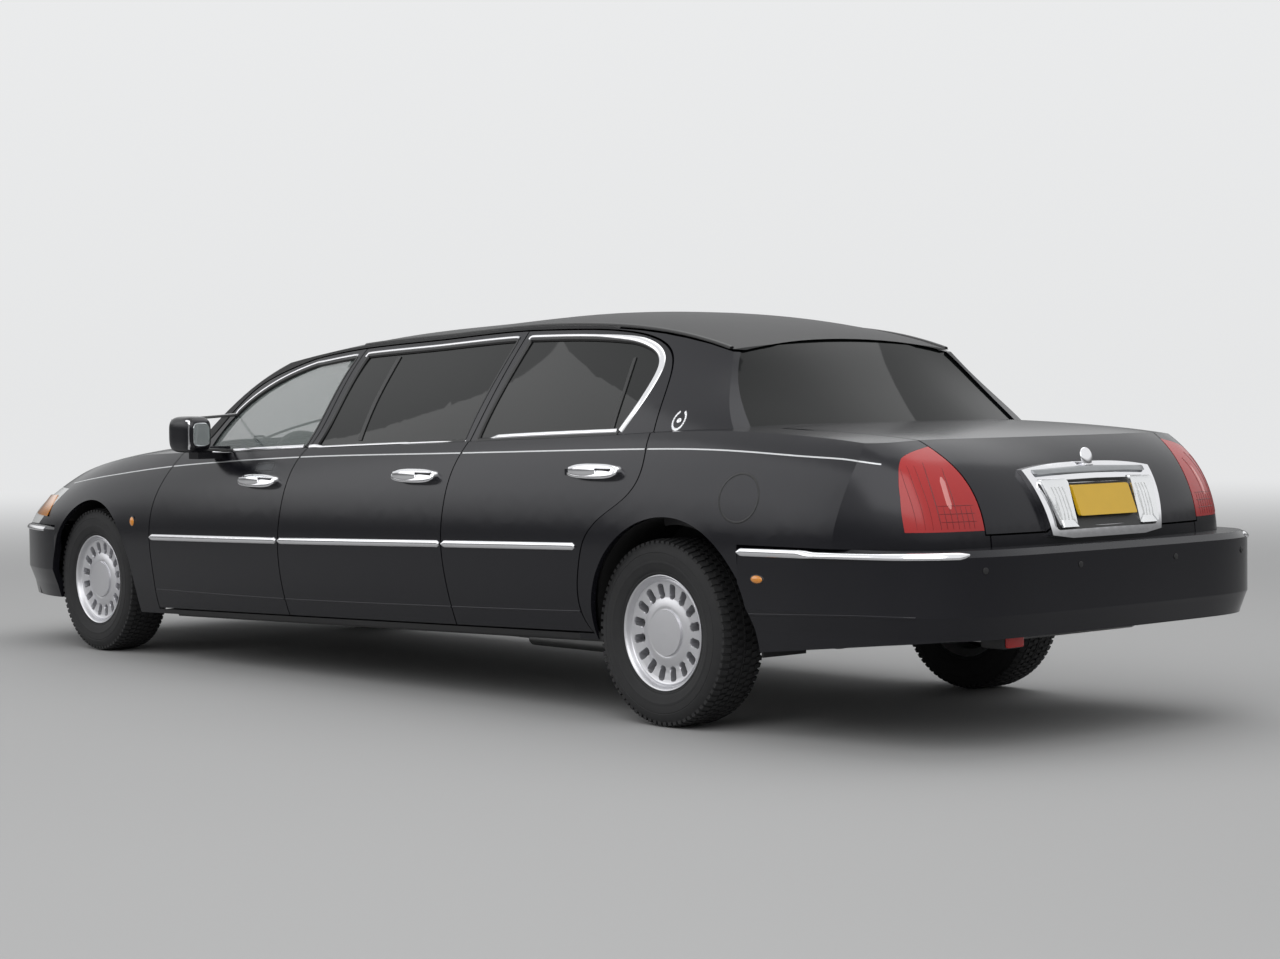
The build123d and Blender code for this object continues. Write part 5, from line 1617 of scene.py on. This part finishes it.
# ---------------------------------------------------------------------------------- rear
@dataclass
class Tail(Assembly):
    """Tail lamps, the plate's surround, the lid's ornament, bumper details and the roof's moulding."""

    plate_low: float = 0.786
    plate_high: float = 0.893
    plate_half: float = 0.158
    lamp_front: float = -2.9
    sensor_height: float = 0.627
    sensor_places: tuple = (0.709, 0.264)
    ornament: Point = (-3.140, 0.0, 0.986)
    ornament_half: Point = (0.009, 0.032, 0.036)
    roof_course: tuple = ((0.3985, 0.600), (-0.2015, 0.600), (-0.4165, 0.600), (-0.8255, 0.600),
                          (-1.1115, 0.600), (-1.4355, 0.600), (-1.5915, 0.600), (-1.7435, 0.598),
                          (-1.9425, 0.593))
    fog_lamp: tuple = (
        ("housing", (-3.215, 0.440, 0.345), (-3.105, 0.535, 0.413), 0.010, TRIM_BLACK, "black_plastic"),
        ("lens", (-3.229, 0.445, 0.350), (-3.213, 0.530, 0.408), 0.006, RED_LENS, "red_lens"),
        ("stay", (-3.180, 0.478, 0.400), (-3.140, 0.500, 0.455), 0.003, TRIM_BLACK, "black_plastic"),
    )

    def build(self) -> None:
        """Makes the rear's pieces."""
        self._lamps()
        self._plate()
        self._ornament()
        self._bumper()
        self._roof_moulding()

    def _lamps(self) -> None:
        """A pale strip, a painted highlight, and dark ribs that show in the red lamps."""
        # The pale strip's course: a painted highlight on the red lamps.
        highlight_course = ((0.690, 0.935), (0.698, 0.90), (0.703, 0.865), (0.704, 0.828))
        ribs = [(((0.722, 0.985), (0.742, 0.93), (0.752, 0.86), (0.752, 0.760)), 0.004),
                (((0.664, 0.965), (0.676, 0.93), (0.684, 0.86), (0.686, 0.760)), 0.003)]
        ribs += [(((0.612, z), (0.66, z), (0.75, z)), 0.0025) for z in (0.785, 0.812, 0.839)]
        ribs += [(((y, 0.835), (y, 0.80), (y, 0.760)), 0.0025) for y in (0.625, 0.645, 0.665, 0.708, 0.730)]
        ribs += [(((y - 0.014, 0.975), (y, 0.90), (y + 0.003, 0.760)), 0.0018)
                 for y in (0.775, 0.797, 0.818)]
        skin = Skin(self.frame, "tail_lamps")
        self._lamp_line("lamp_light_left", skin, highlight_course, 0.020, LAMP_PAINTED_HIGHLIGHT)
        for k, (course, width) in enumerate(ribs):
            self._lamp_line(f"lamp_rib_{k}_left", skin, course, width, LAMP_DARK)

    def _lamp_line(self, name: str, skin: Skin, course: tuple, width: float, finish: Finish) -> None:
        """One thin form on the lamps, with tapered ends.

        Args:
            name: The left piece's name.
            skin: The lamps' surface.
            course: Its (y, z) points.
            width: Its width.
            finish: Its finish.
        """
        places = [(p.y, p.z) for p in rounded_run([(0.0, y, z) for y, z in course])]
        spine, facing = traced(skin.rear, places, lambda found: found[0].x < self.lamp_front)
        if len(spine) < 4:
            return
        taper = [min(1.0, 0.35 + 0.2 * min(i, len(spine) - 1 - i)) for i in range(len(spine))]
        piece = sweep(name, spine, settled(facing), half_round(width, 0.0012, 0.001, 6), widths=taper)
        self.pair(piece, finish, "root", "red_lens")

    def _plate(self) -> None:
        """The blank yellow plate between two clear reversing lamps."""
        skin = Skin(self.frame, "plate_frame", "trunk_lid")
        surround = [(-0.268, 0.742), (0.268, 0.742), (0.310, 0.910), (0.0, 0.914), (-0.310, 0.910)]
        recess = self.panel("plate_recess", skin.rear, BACKWARDS, surround, 0.016, 0.0090)
        self.finish(recess, SEAM_BLACK, "trunk", "black_plastic")
        over = [(-0.302, 0.932), (0.302, 0.932), (0.306, 0.950), (0.0, 0.958), (-0.306, 0.950)]
        band = self.panel("plate_band", skin.rear, BACKWARDS, over, 0.006, 0.0095)
        self.finish(band, BAND_GREY, "trunk", "chrome")
        low, high, half = self.plate_low, self.plate_high, self.plate_half
        outer_low, outer_high = (min(skin.rear(y, z)[0].x for y in (-0.15, 0.0, 0.15)) for z in (low, high))

        def flat(y: float, z: float) -> tuple[Vector, Vector]:
            """The flat plane that the plate stands in."""
            share = (z - low) / (high - low)
            return Vector((outer_low + (outer_high - outer_low) * share, y, z)), BACKWARDS

        shape = rectangle(half, low, -half, high)
        plate = self.panel("number_plate", flat, BACKWARDS, shape, 0.008, 0.0225, root=-0.010)
        self.finish(plate, PLATE_YELLOW, "trunk", "black_plastic")
        for side in Side:
            self._reversing_lamp(skin, side)

    def _reversing_lamp(self, skin: Skin, side: Side) -> None:
        """A clear lamp beside the plate, with upright flutes.

        Args:
            skin: The lid's surface.
            side: Which lamp.
        """
        word, sign = side.word, side.value
        shape = [(sign * y, z) for y, z in ((0.172, 0.750), (0.266, 0.750), (0.310, 0.916), (0.172, 0.918))]
        lamp = self.panel(f"reversing_lamp_{word}", skin.rear, BACKWARDS, shape, 0.014, 0.0175, 0.004)
        self.finish(lamp, LAMP_BOWL, "trunk", "clear_lens")
        outline = ((0.0, 0.775), (0.005, 0.775), (0.010, 0.890), (0.005, 0.890))
        for k, inner in enumerate((0.196, 0.214, 0.232, 0.250)):
            shape, name = [(sign * (inner + out), z) for out, z in outline], f"reversing_flute_{k}_{word}"
            flute = self.panel(name, skin.rear, BACKWARDS, shape, 0.002, 0.0215, 0.001)
            self.finish(flute, LAMP_CLEAR, "trunk", "clear_lens")

    def _ornament(self) -> None:
        """A plain upright bright shield on a foot, on top of the plate's surround."""
        shield = ball("lid_ornament", self.ornament, self.ornament_half, (0, math.radians(14), 0), 40, 24)
        for point in shield.data.vertices:
            share = (point.co.z - self.ornament[2]) / self.ornament_half[2]
            point.co.y *= 1.0 + 0.25 * share if share < 0 else 1.0 + 0.10 * share
        smooth(shield)
        foot = block("lid_ornament_foot", (-3.154, -0.022, 0.950), (-3.122, 0.022, 0.964), 0.004)
        for piece in (shield, foot):
            self.finish(piece, CHROME, "trunk", "chrome")

    def _bumper(self) -> None:
        """Parking sensors, and the lower fog lamp on its stay."""
        skin = Skin(self.frame, "rear_bumper")
        places = [side.value * y for side in Side for y in self.sensor_places]
        for number, y in enumerate(places, 1):
            place, normal = skin.rear(y, self.sensor_height)
            turn = normal.to_track_quat("Z", "Y").to_euler()
            disc = rod(f"parking_sensor_{number}", place, 0.011, 0.006, 32, turn)
            soften(disc, 0.0015)
            self.finish(disc, TRIM_BLACK, "root", "black_plastic")
        for word, low, high, rounding, finish, slot in self.fog_lamp:
            self.finish(block(f"fog_lamp_{word}", low, high, rounding), finish, "root", slot)

    def _roof_moulding(self) -> None:
        """The dark moulding from over the doors down beside the rear glass."""
        skin = Skin(self.frame, "roof", "quarter_left", "rear_window", "rear_deck")
        places = [(p.x, p.y) for p in rounded_run([(x, y, 0.0) for x, y in self.roof_course], 10)]
        spine, facing = traced(skin.top, places)
        piece = sweep("roof_moulding_left", spine, settled(facing, 6), half_round(0.022, 0.008, 0.002))
        self.pair(piece, SEAM_BLACK, "root", "black_plastic")


# ---------------------------------------------------------------------------------- cabin
@dataclass(frozen=True)
class Pad:
    """One cushion: the node it stands for, its corners, lean, sewn channels and fineness."""

    name: str
    node: str
    low: Point
    high: Point
    lean: float = 0.0
    across_lines: tuple = ()
    along_lines: tuple = ()
    rounding: float = 0.035
    voxel: float = 0.013


@dataclass
class Cabin(Assembly):
    """Seats as cushions, their plinths, the instrument panel and the doors' linings."""

    swell: float = 0.010
    swell_frames: int = 20
    channel_width: float = 0.007
    channel_depth: float = 0.009
    pads: tuple = (
        Pad("front_cushion_left", "front_seats", (0.405, 0.165, 0.425), (0.938, 0.635, 0.560), 0.0,
            (0.255, 0.545), (0.62,)),
        Pad("front_back_left", "front_seats", (0.400, 0.165, 0.520), (0.520, 0.635, 0.925), -0.078,
            (0.255, 0.545)),
        Pad("front_headrest_left", "front_seats", (0.275, 0.275, 0.955), (0.360, 0.525, 1.098), -0.015,
            rounding=0.030, voxel=0.010),
        Pad("middle_cushion", "middle_seat", (-0.600, -0.628, 0.580), (-0.085, 0.628, 0.700), 0.0,
            (-0.21, 0.21), (-0.36,)),
        Pad("middle_back", "middle_seat", (-0.610, -0.628, 0.690), (-0.492, 0.628, 1.138), -0.090,
            (-0.21, 0.21)),
        Pad("rear_cushion", "rear_seat", (-1.700, -0.548, 0.618), (-1.315, 0.548, 0.708), 0.0,
            (-0.18, 0.18), (-1.52,)),
        Pad("rear_back", "rear_seat", (-1.840, -0.548, 0.700), (-1.735, 0.548, 1.118), -0.100,
            (-0.18, 0.18)),
    )
    plinths: tuple = (("front_plinth_left", "front_seats", (0.43, 0.19, 0.316), (0.91, 0.61, 0.424)),
                      ("front_shell_left", "front_seats", (0.386, 0.185, 0.44), (0.398, 0.615, 0.62)),
                      ("middle_plinth", "middle_seat", (-0.590, -0.620, 0.515), (-0.095, 0.620, 0.578)),
                      ("rear_plinth", "rear_seat", (-1.825, -0.548, 0.593), (-1.310, 0.548, 0.616)))
    feet: tuple = ((-0.5015, 0.4), (-0.5015, -0.4), (-0.1815, 0.4), (-0.1815, -0.4))
    posts: tuple = (0.36, 0.44)
    dials: tuple = (0.335, 0.465)
    dial_height: float = 0.820
    vents: tuple = (-0.60, -0.08, 0.12, 0.60)
    lining_low: float = 0.46
    lining_gap: float = 0.004
    lining_thick: float = 0.010
    cabin_half: float = 0.90
    lining_nearest: float = 0.80
    doors: tuple = (("door_front", 0.46, 1.30, 0.900), ("door_middle", -0.66, 0.40, 0.945),
                    ("door_rear", -1.40, -0.76, 0.985))

    def build(self) -> None:
        """Makes the cabin's pieces."""
        made = [(pad, self._start(pad)) for pad in self.pads]
        starts = {pad.name: np.array([v.co[:] for v in piece.data.vertices]) for pad, piece in made}
        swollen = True
        if swollen:
            self._inflate([piece for _, piece in made])
        for pad, piece in made:
            self._settle(piece, starts[pad.name], swollen)
            self._sew(pad, piece)
            smooth(piece, 60)
            cushions = [piece]
            if pad.name.endswith("_left"):
                cushions.append(mirrored(piece, pad.name.replace("_left", "_right")))
            for cushion in cushions:
                self.finish(cushion, LEATHER, "root", "cabin_trim", pad.node)
        self._plinths()
        self._instruments()
        self._linings()

    def _start(self, pad: Pad) -> bpy.types.Object:
        """A cushion's shape before it swells.

        Args:
            pad: Its sizes.

        Returns:
            The remeshed start.
        """
        piece = block(pad.name, pad.low, pad.high)
        height = pad.high[2] - pad.low[2]
        for point in piece.data.vertices:
            point.co.x += pad.lean * (point.co.z - pad.low[2]) / height
        soften(piece, pad.rounding, 4)
        remesh = piece.modifiers.new("remesh", "REMESH")
        remesh.mode, remesh.voxel_size = "VOXEL", pad.voxel
        apply_all(piece)
        return piece

    def _inflate(self, pieces: list) -> None:
        """Swells the cushions with a short cloth run.

        Args:
            pieces: The cushions' starts.
        """
        for piece in pieces:
            cloth = piece.modifiers.new("cloth", "CLOTH")
            cloth.settings.use_pressure = True
            cloth.settings.uniform_pressure_force = 4.0
            cloth.settings.effector_weights.gravity = 0.0
            cloth.settings.quality = 4
            cloth.point_cache.frame_start, cloth.point_cache.frame_end = 1, self.swell_frames
        scene = bpy.context.scene
        for frame_number in range(1, self.swell_frames + 1):
            scene.frame_set(frame_number)
        graph = bpy.context.evaluated_depsgraph_get()
        for piece in pieces:
            moved = piece.evaluated_get(graph).data
            flat = np.empty(len(moved.vertices) * 3)
            moved.vertices.foreach_get("co", flat)
            piece.modifiers.clear()
            piece.data.vertices.foreach_set("co", flat)
        scene.frame_set(1)

    def _settle(self, piece: bpy.types.Object, start: np.ndarray, swollen: bool) -> None:
        """Caps how far a cushion's points have moved, or crowns it where nothing was simulated.

        Args:
            piece: The cushion.
            start: Its points before.
            swollen: Whether the cloth run was made.
        """
        now = np.array([v.co[:] for v in piece.data.vertices])
        if not swollen:
            low, high = start.min(axis=0), start.max(axis=0)
            middle = (low + high) / 2
            share = np.clip(1 - np.abs((start - middle) / ((high - low) / 2)) ** 2, 0, 1)
            crown = self.swell * share[:, 1:2] * share[:, 0:1] * np.sign(start - middle)
            now = start + crown * np.array([0.0, 0.0, 1.0])
        move = now - start
        length = np.linalg.norm(move, axis=1, keepdims=True)
        move *= np.minimum(1.0, self.swell / np.maximum(length, 1e-9))
        piece.data.vertices.foreach_set("co", (start + move).ravel())
        piece.data.update()
        finer = piece.modifiers.new("finer", "SUBSURF")
        finer.levels = finer.render_levels = 1
        apply_all(piece)

    def _sew(self, pad: Pad, piece: bpy.types.Object) -> None:
        """Presses sewn channels into a cushion.

        Args:
            pad: Where they run.
            piece: The cushion.
        """
        data = piece.data
        points = np.array([v.co[:] for v in data.vertices])
        normals = np.array([v.normal[:] for v in data.vertices])
        depth = np.zeros(len(points))
        for axis, lines in ((1, pad.across_lines), (0, pad.along_lines)):
            for line in lines:
                depth = np.maximum(depth, np.exp(-((points[:, axis] - line) / self.channel_width) ** 2))
        points -= normals * (self.channel_depth * depth)[:, None]
        data.vertices.foreach_set("co", points.ravel())
        data.update()

    def _plinths(self) -> None:
        """The seats' hard bases, shells, feet and headrest posts."""
        for name, node, low, high in self.plinths:
            piece = block(name, low, high, 0.008)
            if name.endswith("_left"):
                self.pair(piece, TRIM_BLACK, "root", "black_plastic", node)
            else:
                self.finish(piece, TRIM_BLACK, "root", "black_plastic", node)
        for k, (x, y) in enumerate(self.feet):
            foot = block(f"middle_foot_{k}", (x - 0.018, y - 0.018, 0.330), (x + 0.018, y + 0.018, 0.520),
                         0.004)
            self.finish(foot, STEEL, "root", "steel", "middle_seat")
        for side in Side:
            for k, y in enumerate(self.posts):
                place = (0.316, side.value * y, 0.936)
                post = rod(f"headrest_post_{k}_{side.word}", place, 0.006, 0.06, 20)
                smooth(post)
                self.finish(post, CHROME, "root", "chrome", "front_seats")

    def _instruments(self) -> None:
        """A dial cluster before the driver, vents, a centre panel and a glove box lid."""
        skin = Skin(self.frame, "dashboard")
        self._dash_panel(skin, "dial_cluster", (0.27, 0.780, 0.53, 0.862), 0.02, 0.006, SEAM_BLACK)
        for k, y in enumerate(self.dials):
            deselect()
            face = skin.rear(y, self.dial_height)[0].x
            place = (face - 0.0065, y, self.dial_height)
            bpy.ops.mesh.primitive_torus_add(major_segments=40, minor_segments=8, major_radius=0.032,
                                             minor_radius=0.0022, location=place,
                                             rotation=(0, math.radians(90), 0))
            ring = bpy.context.active_object
            ring.name = f"dial_ring_{k}"
            bake_place(ring)
            smooth(ring)
            self.finish(ring, CHROME, "root", "chrome")
        for k, y in enumerate(self.vents):
            self._vent(skin, k, y)
        self._dash_panel(skin, "glove_box_lid", (-0.53, 0.665, -0.17, 0.775), 0.015, 0.005, LEATHER,
                         "cabin_trim")
        self._dash_panel(skin, "dash_centre", (-0.10, 0.665, 0.14, 0.780), 0.012, 0.005, BAND_GREY)

    def _dash_panel(self, skin: Skin, name: str, shape: tuple, rounding: float, proud: float, finish: Finish,
                    slot: str = "black_plastic") -> None:
        """One rounded form on the instrument panel, between a low and a high (y, z) corner."""
        piece = self.panel(name, skin.rear, BACKWARDS, rectangle(*shape), rounding, proud)
        self.finish(piece, finish, "root", slot)

    def _vent(self, skin: Skin, k: int, y: float) -> None:
        """One vent of the instrument panel, with its blades.

        Args:
            skin: The panel's surface.
            k: The vent's number.
            y: Its middle.
        """
        shape = (y - 0.045, 0.800, y + 0.045, 0.850)
        self._dash_panel(skin, f"dash_vent_{k}", shape, 0.01, 0.004, SEAM_BLACK)
        for row in range(4):
            z = 0.808 + 0.0115 * row
            face = skin.rear(y, z)[0].x
            blade = block(f"dash_vent_blade_{k}_{row}", (face - 0.0085, y - 0.038, z - 0.0015),
                          (face - 0.0035, y + 0.038, z + 0.0025), 0.0008)
            self.finish(blade, TRIM_BLACK, "root", "black_plastic")

    def _linings(self) -> None:
        """A lining on the inside of each door, with an armrest and a pull."""
        for door, low, high, top in self.doors:
            body = f"{door}_left"
            inner = self._lining(body, np.linspace(low, high, 30), np.linspace(self.lining_low, top, 16))
            middle = (low + high) / 2
            arm = block(f"armrest_{body}", (middle - 0.20, inner - 0.062, 0.675),
                        (middle + 0.16, inner - 0.006, 0.720), 0.014)
            self.pair(arm, LEATHER, body, "cabin_trim")
            pull = block(f"inner_pull_{body}", (middle + 0.06, inner - 0.024, 0.790),
                         (middle + 0.16, inner - 0.008, 0.815), 0.005)
            self.pair(pull, CHROME, body, "chrome")

    def _lining(self, body: str, columns: np.ndarray, rows: np.ndarray) -> float:
        """A thin sheet on the inside of a door.

        Args:
            body: The door.
            columns: Its points' places along the car.
            rows: Its points' heights.

        Returns:
            How near the car's middle the sheet comes.
        """
        skin = Skin(self.frame, body)
        long, tall = len(columns), len(rows)
        last, grid = self.cabin_half, []
        for x in columns:
            for z in rows:
                found = skin.inner(float(x), float(z))
                if found and found[0].y > self.lining_nearest:
                    last = found[0].y
                grid.append((float(x), last - self.lining_gap, float(z)))
        points = list(grid)
        for i, (x, y, z) in enumerate(grid):
            edge = i // tall in (0, long - 1) or i % tall in (0, tall - 1)
            points.append((x, y - self.lining_thick * (0.5 if edge else 1.0), z))
        size, faces = len(grid), []
        for i in range(long - 1):
            for k in range(tall - 1):
                a, b, c, d = i * tall + k, (i + 1) * tall + k, (i + 1) * tall + k + 1, i * tall + k + 1
                faces += [(a, b, c, d), (size + a, size + d, size + c, size + b)]
        rim = ([i * tall for i in range(long)] + [(long - 1) * tall + k for k in range(1, tall)]
               + [i * tall + tall - 1 for i in range(long - 2, -1, -1)] + list(range(tall - 2, 0, -1)))
        faces += [(a, b, size + b, size + a) for a, b in zip(rim, rim[1:] + rim[:1])]
        lining = mesh_piece(f"lining_{body}", points, faces)
        smooth(lining, 50)
        self.pair(lining, LEATHER, body, "cabin_trim")
        return min(y for _, y, _ in grid)


# ---------------------------------------------------------------------------------- front and mirrors
@dataclass
class Front(Assembly):
    """Mirror covers, wipers, the bumper's bright line, lamp details and the front plate."""

    mirror_place: tuple = (1.059, 1.066)
    mirror_ahead: float = 0.095
    mirror_half: Point = (0.103, 0.067, 0.082)
    mirror_back: float = 0.097
    mirror_glass_half: tuple = (0.0430, 0.0530)
    wipers: tuple = (((1.60, 0.42), (1.47, -0.16)), ((1.62, -0.14), (1.49, -0.62)))
    wiper_forms: tuple = (("arm", 0.0, 0.62, 0.0, 0.009, 0.010, 0.016),
                          ("blade", 0.22, 1.0, 0.006, 0.004, 0.008, 0.010))
    strip_middle: Point = (2.60, 0.0, 0.585)
    strip_reach: float = 84.0
    corner_lens: tuple = (2.62, 2.92)
    lamp_height: float = 0.700
    bowls: tuple = ((0.46, 0.062), (0.62, 0.066))

    def build(self) -> None:
        """Makes the front's pieces."""
        self._mirrors()
        self._wipers()
        self._bumper_line()
        self._lamps()
        self._plate()

    def _mirrors(self) -> None:
        """A rounded cover over each door mirror's core, with a glass on its rear."""
        core = Skin(self.frame, "door_front_left").rear(*self.mirror_place)[0]
        middle = Vector((core.x + self.mirror_ahead, *self.mirror_place))
        cover = ball("mirror_cover_left", (0, 0, 0), (1, 1, 1), (0, 0, 0), 56, 36)
        for point in cover.data.vertices:
            way = point.co.normalized()
            place = way * sum(abs(way[i] / self.mirror_half[i]) ** 4 for i in range(3)) ** -0.25
            place.x = max(place.x, -self.mirror_back)
            point.co = middle + place
        smooth(cover)
        self.pair(cover, BLACK_PAINT, "door_front_left", "black_paint")
        across, up = self.mirror_glass_half
        turns = [2 * math.pi * k / 48 for k in range(48)]
        outline = [(powered(math.cos(t), 0.5) * across, powered(math.sin(t), 0.5) * up) for t in turns]
        points = [(middle.x - self.mirror_back - out, middle.y + a * share, middle.z + b * share)
                  for share, out in ((1.0, -0.004), (1.0, 0.001), (0.96, 0.002)) for a, b in outline]
        glass = mesh_piece("mirror_glass_left", points, ring_faces(3, len(outline)))
        self.pair(glass, MIRROR_GLASS, "door_front_left", "side_glass")

    def _wipers(self) -> None:
        """Two wipers parked along the windscreen's foot."""
        skin = Skin(self.frame, "windscreen", "cowl")
        for k, (foot, tip) in enumerate(self.wipers):
            for word, start, end, behind, lift, width, high in self.wiper_forms:
                shares = [start + (end - start) * i / 24 for i in range(25)]
                spine, facing = traced(skin.top, [(foot[0] + (tip[0] - foot[0]) * t - behind,
                                                   foot[1] + (tip[1] - foot[1]) * t) for t in shares])
                spine = [place + normal * lift for place, normal in zip(spine, facing)]
                section = [(-width / 2, -0.004), (-width / 2, high * 0.2), (0, high * 0.4),
                           (width / 2, high * 0.2), (width / 2, -0.004)]
                piece = sweep(f"wiper_{word}_{k}", spine, settled(facing), section)
                self.finish(piece, SEAM_BLACK, "root", "black_plastic")

    def _bumper_line(self) -> None:
        """A bright line round the front bumper."""
        skin = Skin(self.frame, "front_bumper")
        middle = Vector(self.strip_middle)
        spine, facing = [], []
        for k in range(121):
            turn = math.radians(-self.strip_reach + 2 * self.strip_reach * k / 120)
            way = Vector((-math.cos(turn), -math.sin(turn), 0))
            found = skin.cast(middle - way * 2.5, way)
            if found and (middle - found[0]).length > 0.6:
                spine.append(found[0])
                facing.append(found[1])
        piece = sweep("front_bumper_strip", spine, settled(facing, 3), half_round(0.026, 0.007))
        self.finish(piece, CHROME, "root", "chrome")

    def _lamps(self) -> None:
        """Round reflectors in the headlamps, and the amber corner lenses."""
        skin, z = Skin(self.frame, "headlamps"), self.lamp_height
        turns = [math.radians(60 * i) for i in range(6)]
        for k, (y, radius) in enumerate(self.bowls):
            loop = [(y + radius * math.cos(turn), z + radius * math.sin(turn)) for turn in turns]
            bowl = self.panel(f"headlamp_bowl_{k}_left", skin.ahead, FORWARDS, loop, radius * 0.42, 0.0015,
                              0.004)
            self.pair(bowl, LAMP_BOWL, "root", "clear_lens")
        places = [(float(x), z) for x in np.linspace(*self.corner_lens, 24)]
        spine, facing = traced(skin.side, places, lambda found: found[1].y > 0.25)
        section = [(0.060, -0.001), (0.056, 0.0022), (-0.056, 0.0022), (-0.060, -0.001)]
        lens = sweep("corner_lens_left", spine, settled(facing), section)
        self.pair(lens, AMBER_LENS, "root", "clear_lens")

    def _plate(self) -> None:
        """A blank plate on the front bumper."""
        skin = Skin(self.frame, "front_bumper")
        for name, shape, rounding, proud, finish in (
                ("front_plate_holder", (-0.265, 0.415, 0.265, 0.535), 0.010, 0.006, SEAM_BLACK),
                ("front_plate", (-0.260, 0.420, 0.260, 0.530), 0.008, 0.009, PLATE_YELLOW)):
            piece = self.panel(name, skin.ahead, FORWARDS, rectangle(*shape), rounding, proud)
            self.finish(piece, finish, "root", "black_plastic")


def dress_nodes(frame: dict) -> None:
    """Gives each construction node the finish of its record slot.
    """
    slots = {part["node"]: part["material_slot"] for part in frame["record"]["subparts"]}
    for name, node in frame["nodes"].items():
        finish = SINGLE_FINISHES.get(name) or NODE_FINISHES.get(slots.get(name, ""), TRIM_BLACK)
        for index in range(len(node.material_slots)):
            node.material_slots[index].material = finish.material()


def corners() -> list[list[float]]:
    """The shown object's lowest and highest corners as plain lists."""
    return [[float(value) for value in corner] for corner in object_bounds()]


def main() -> None:
    """Builds the looks in order."""
    logging.basicConfig(level=logging.INFO, format="%(name)s: %(message)s")
    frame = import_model()
    bpy.context.scene.view_settings.view_transform = "Standard"
    Studio().build()
    dress_nodes(frame)
    for assembly in (SideTrim, SideWindows, Wheels, Tail, Cabin, Front):
        assembly(frame).build()


if __name__ == "__main__":
    main()
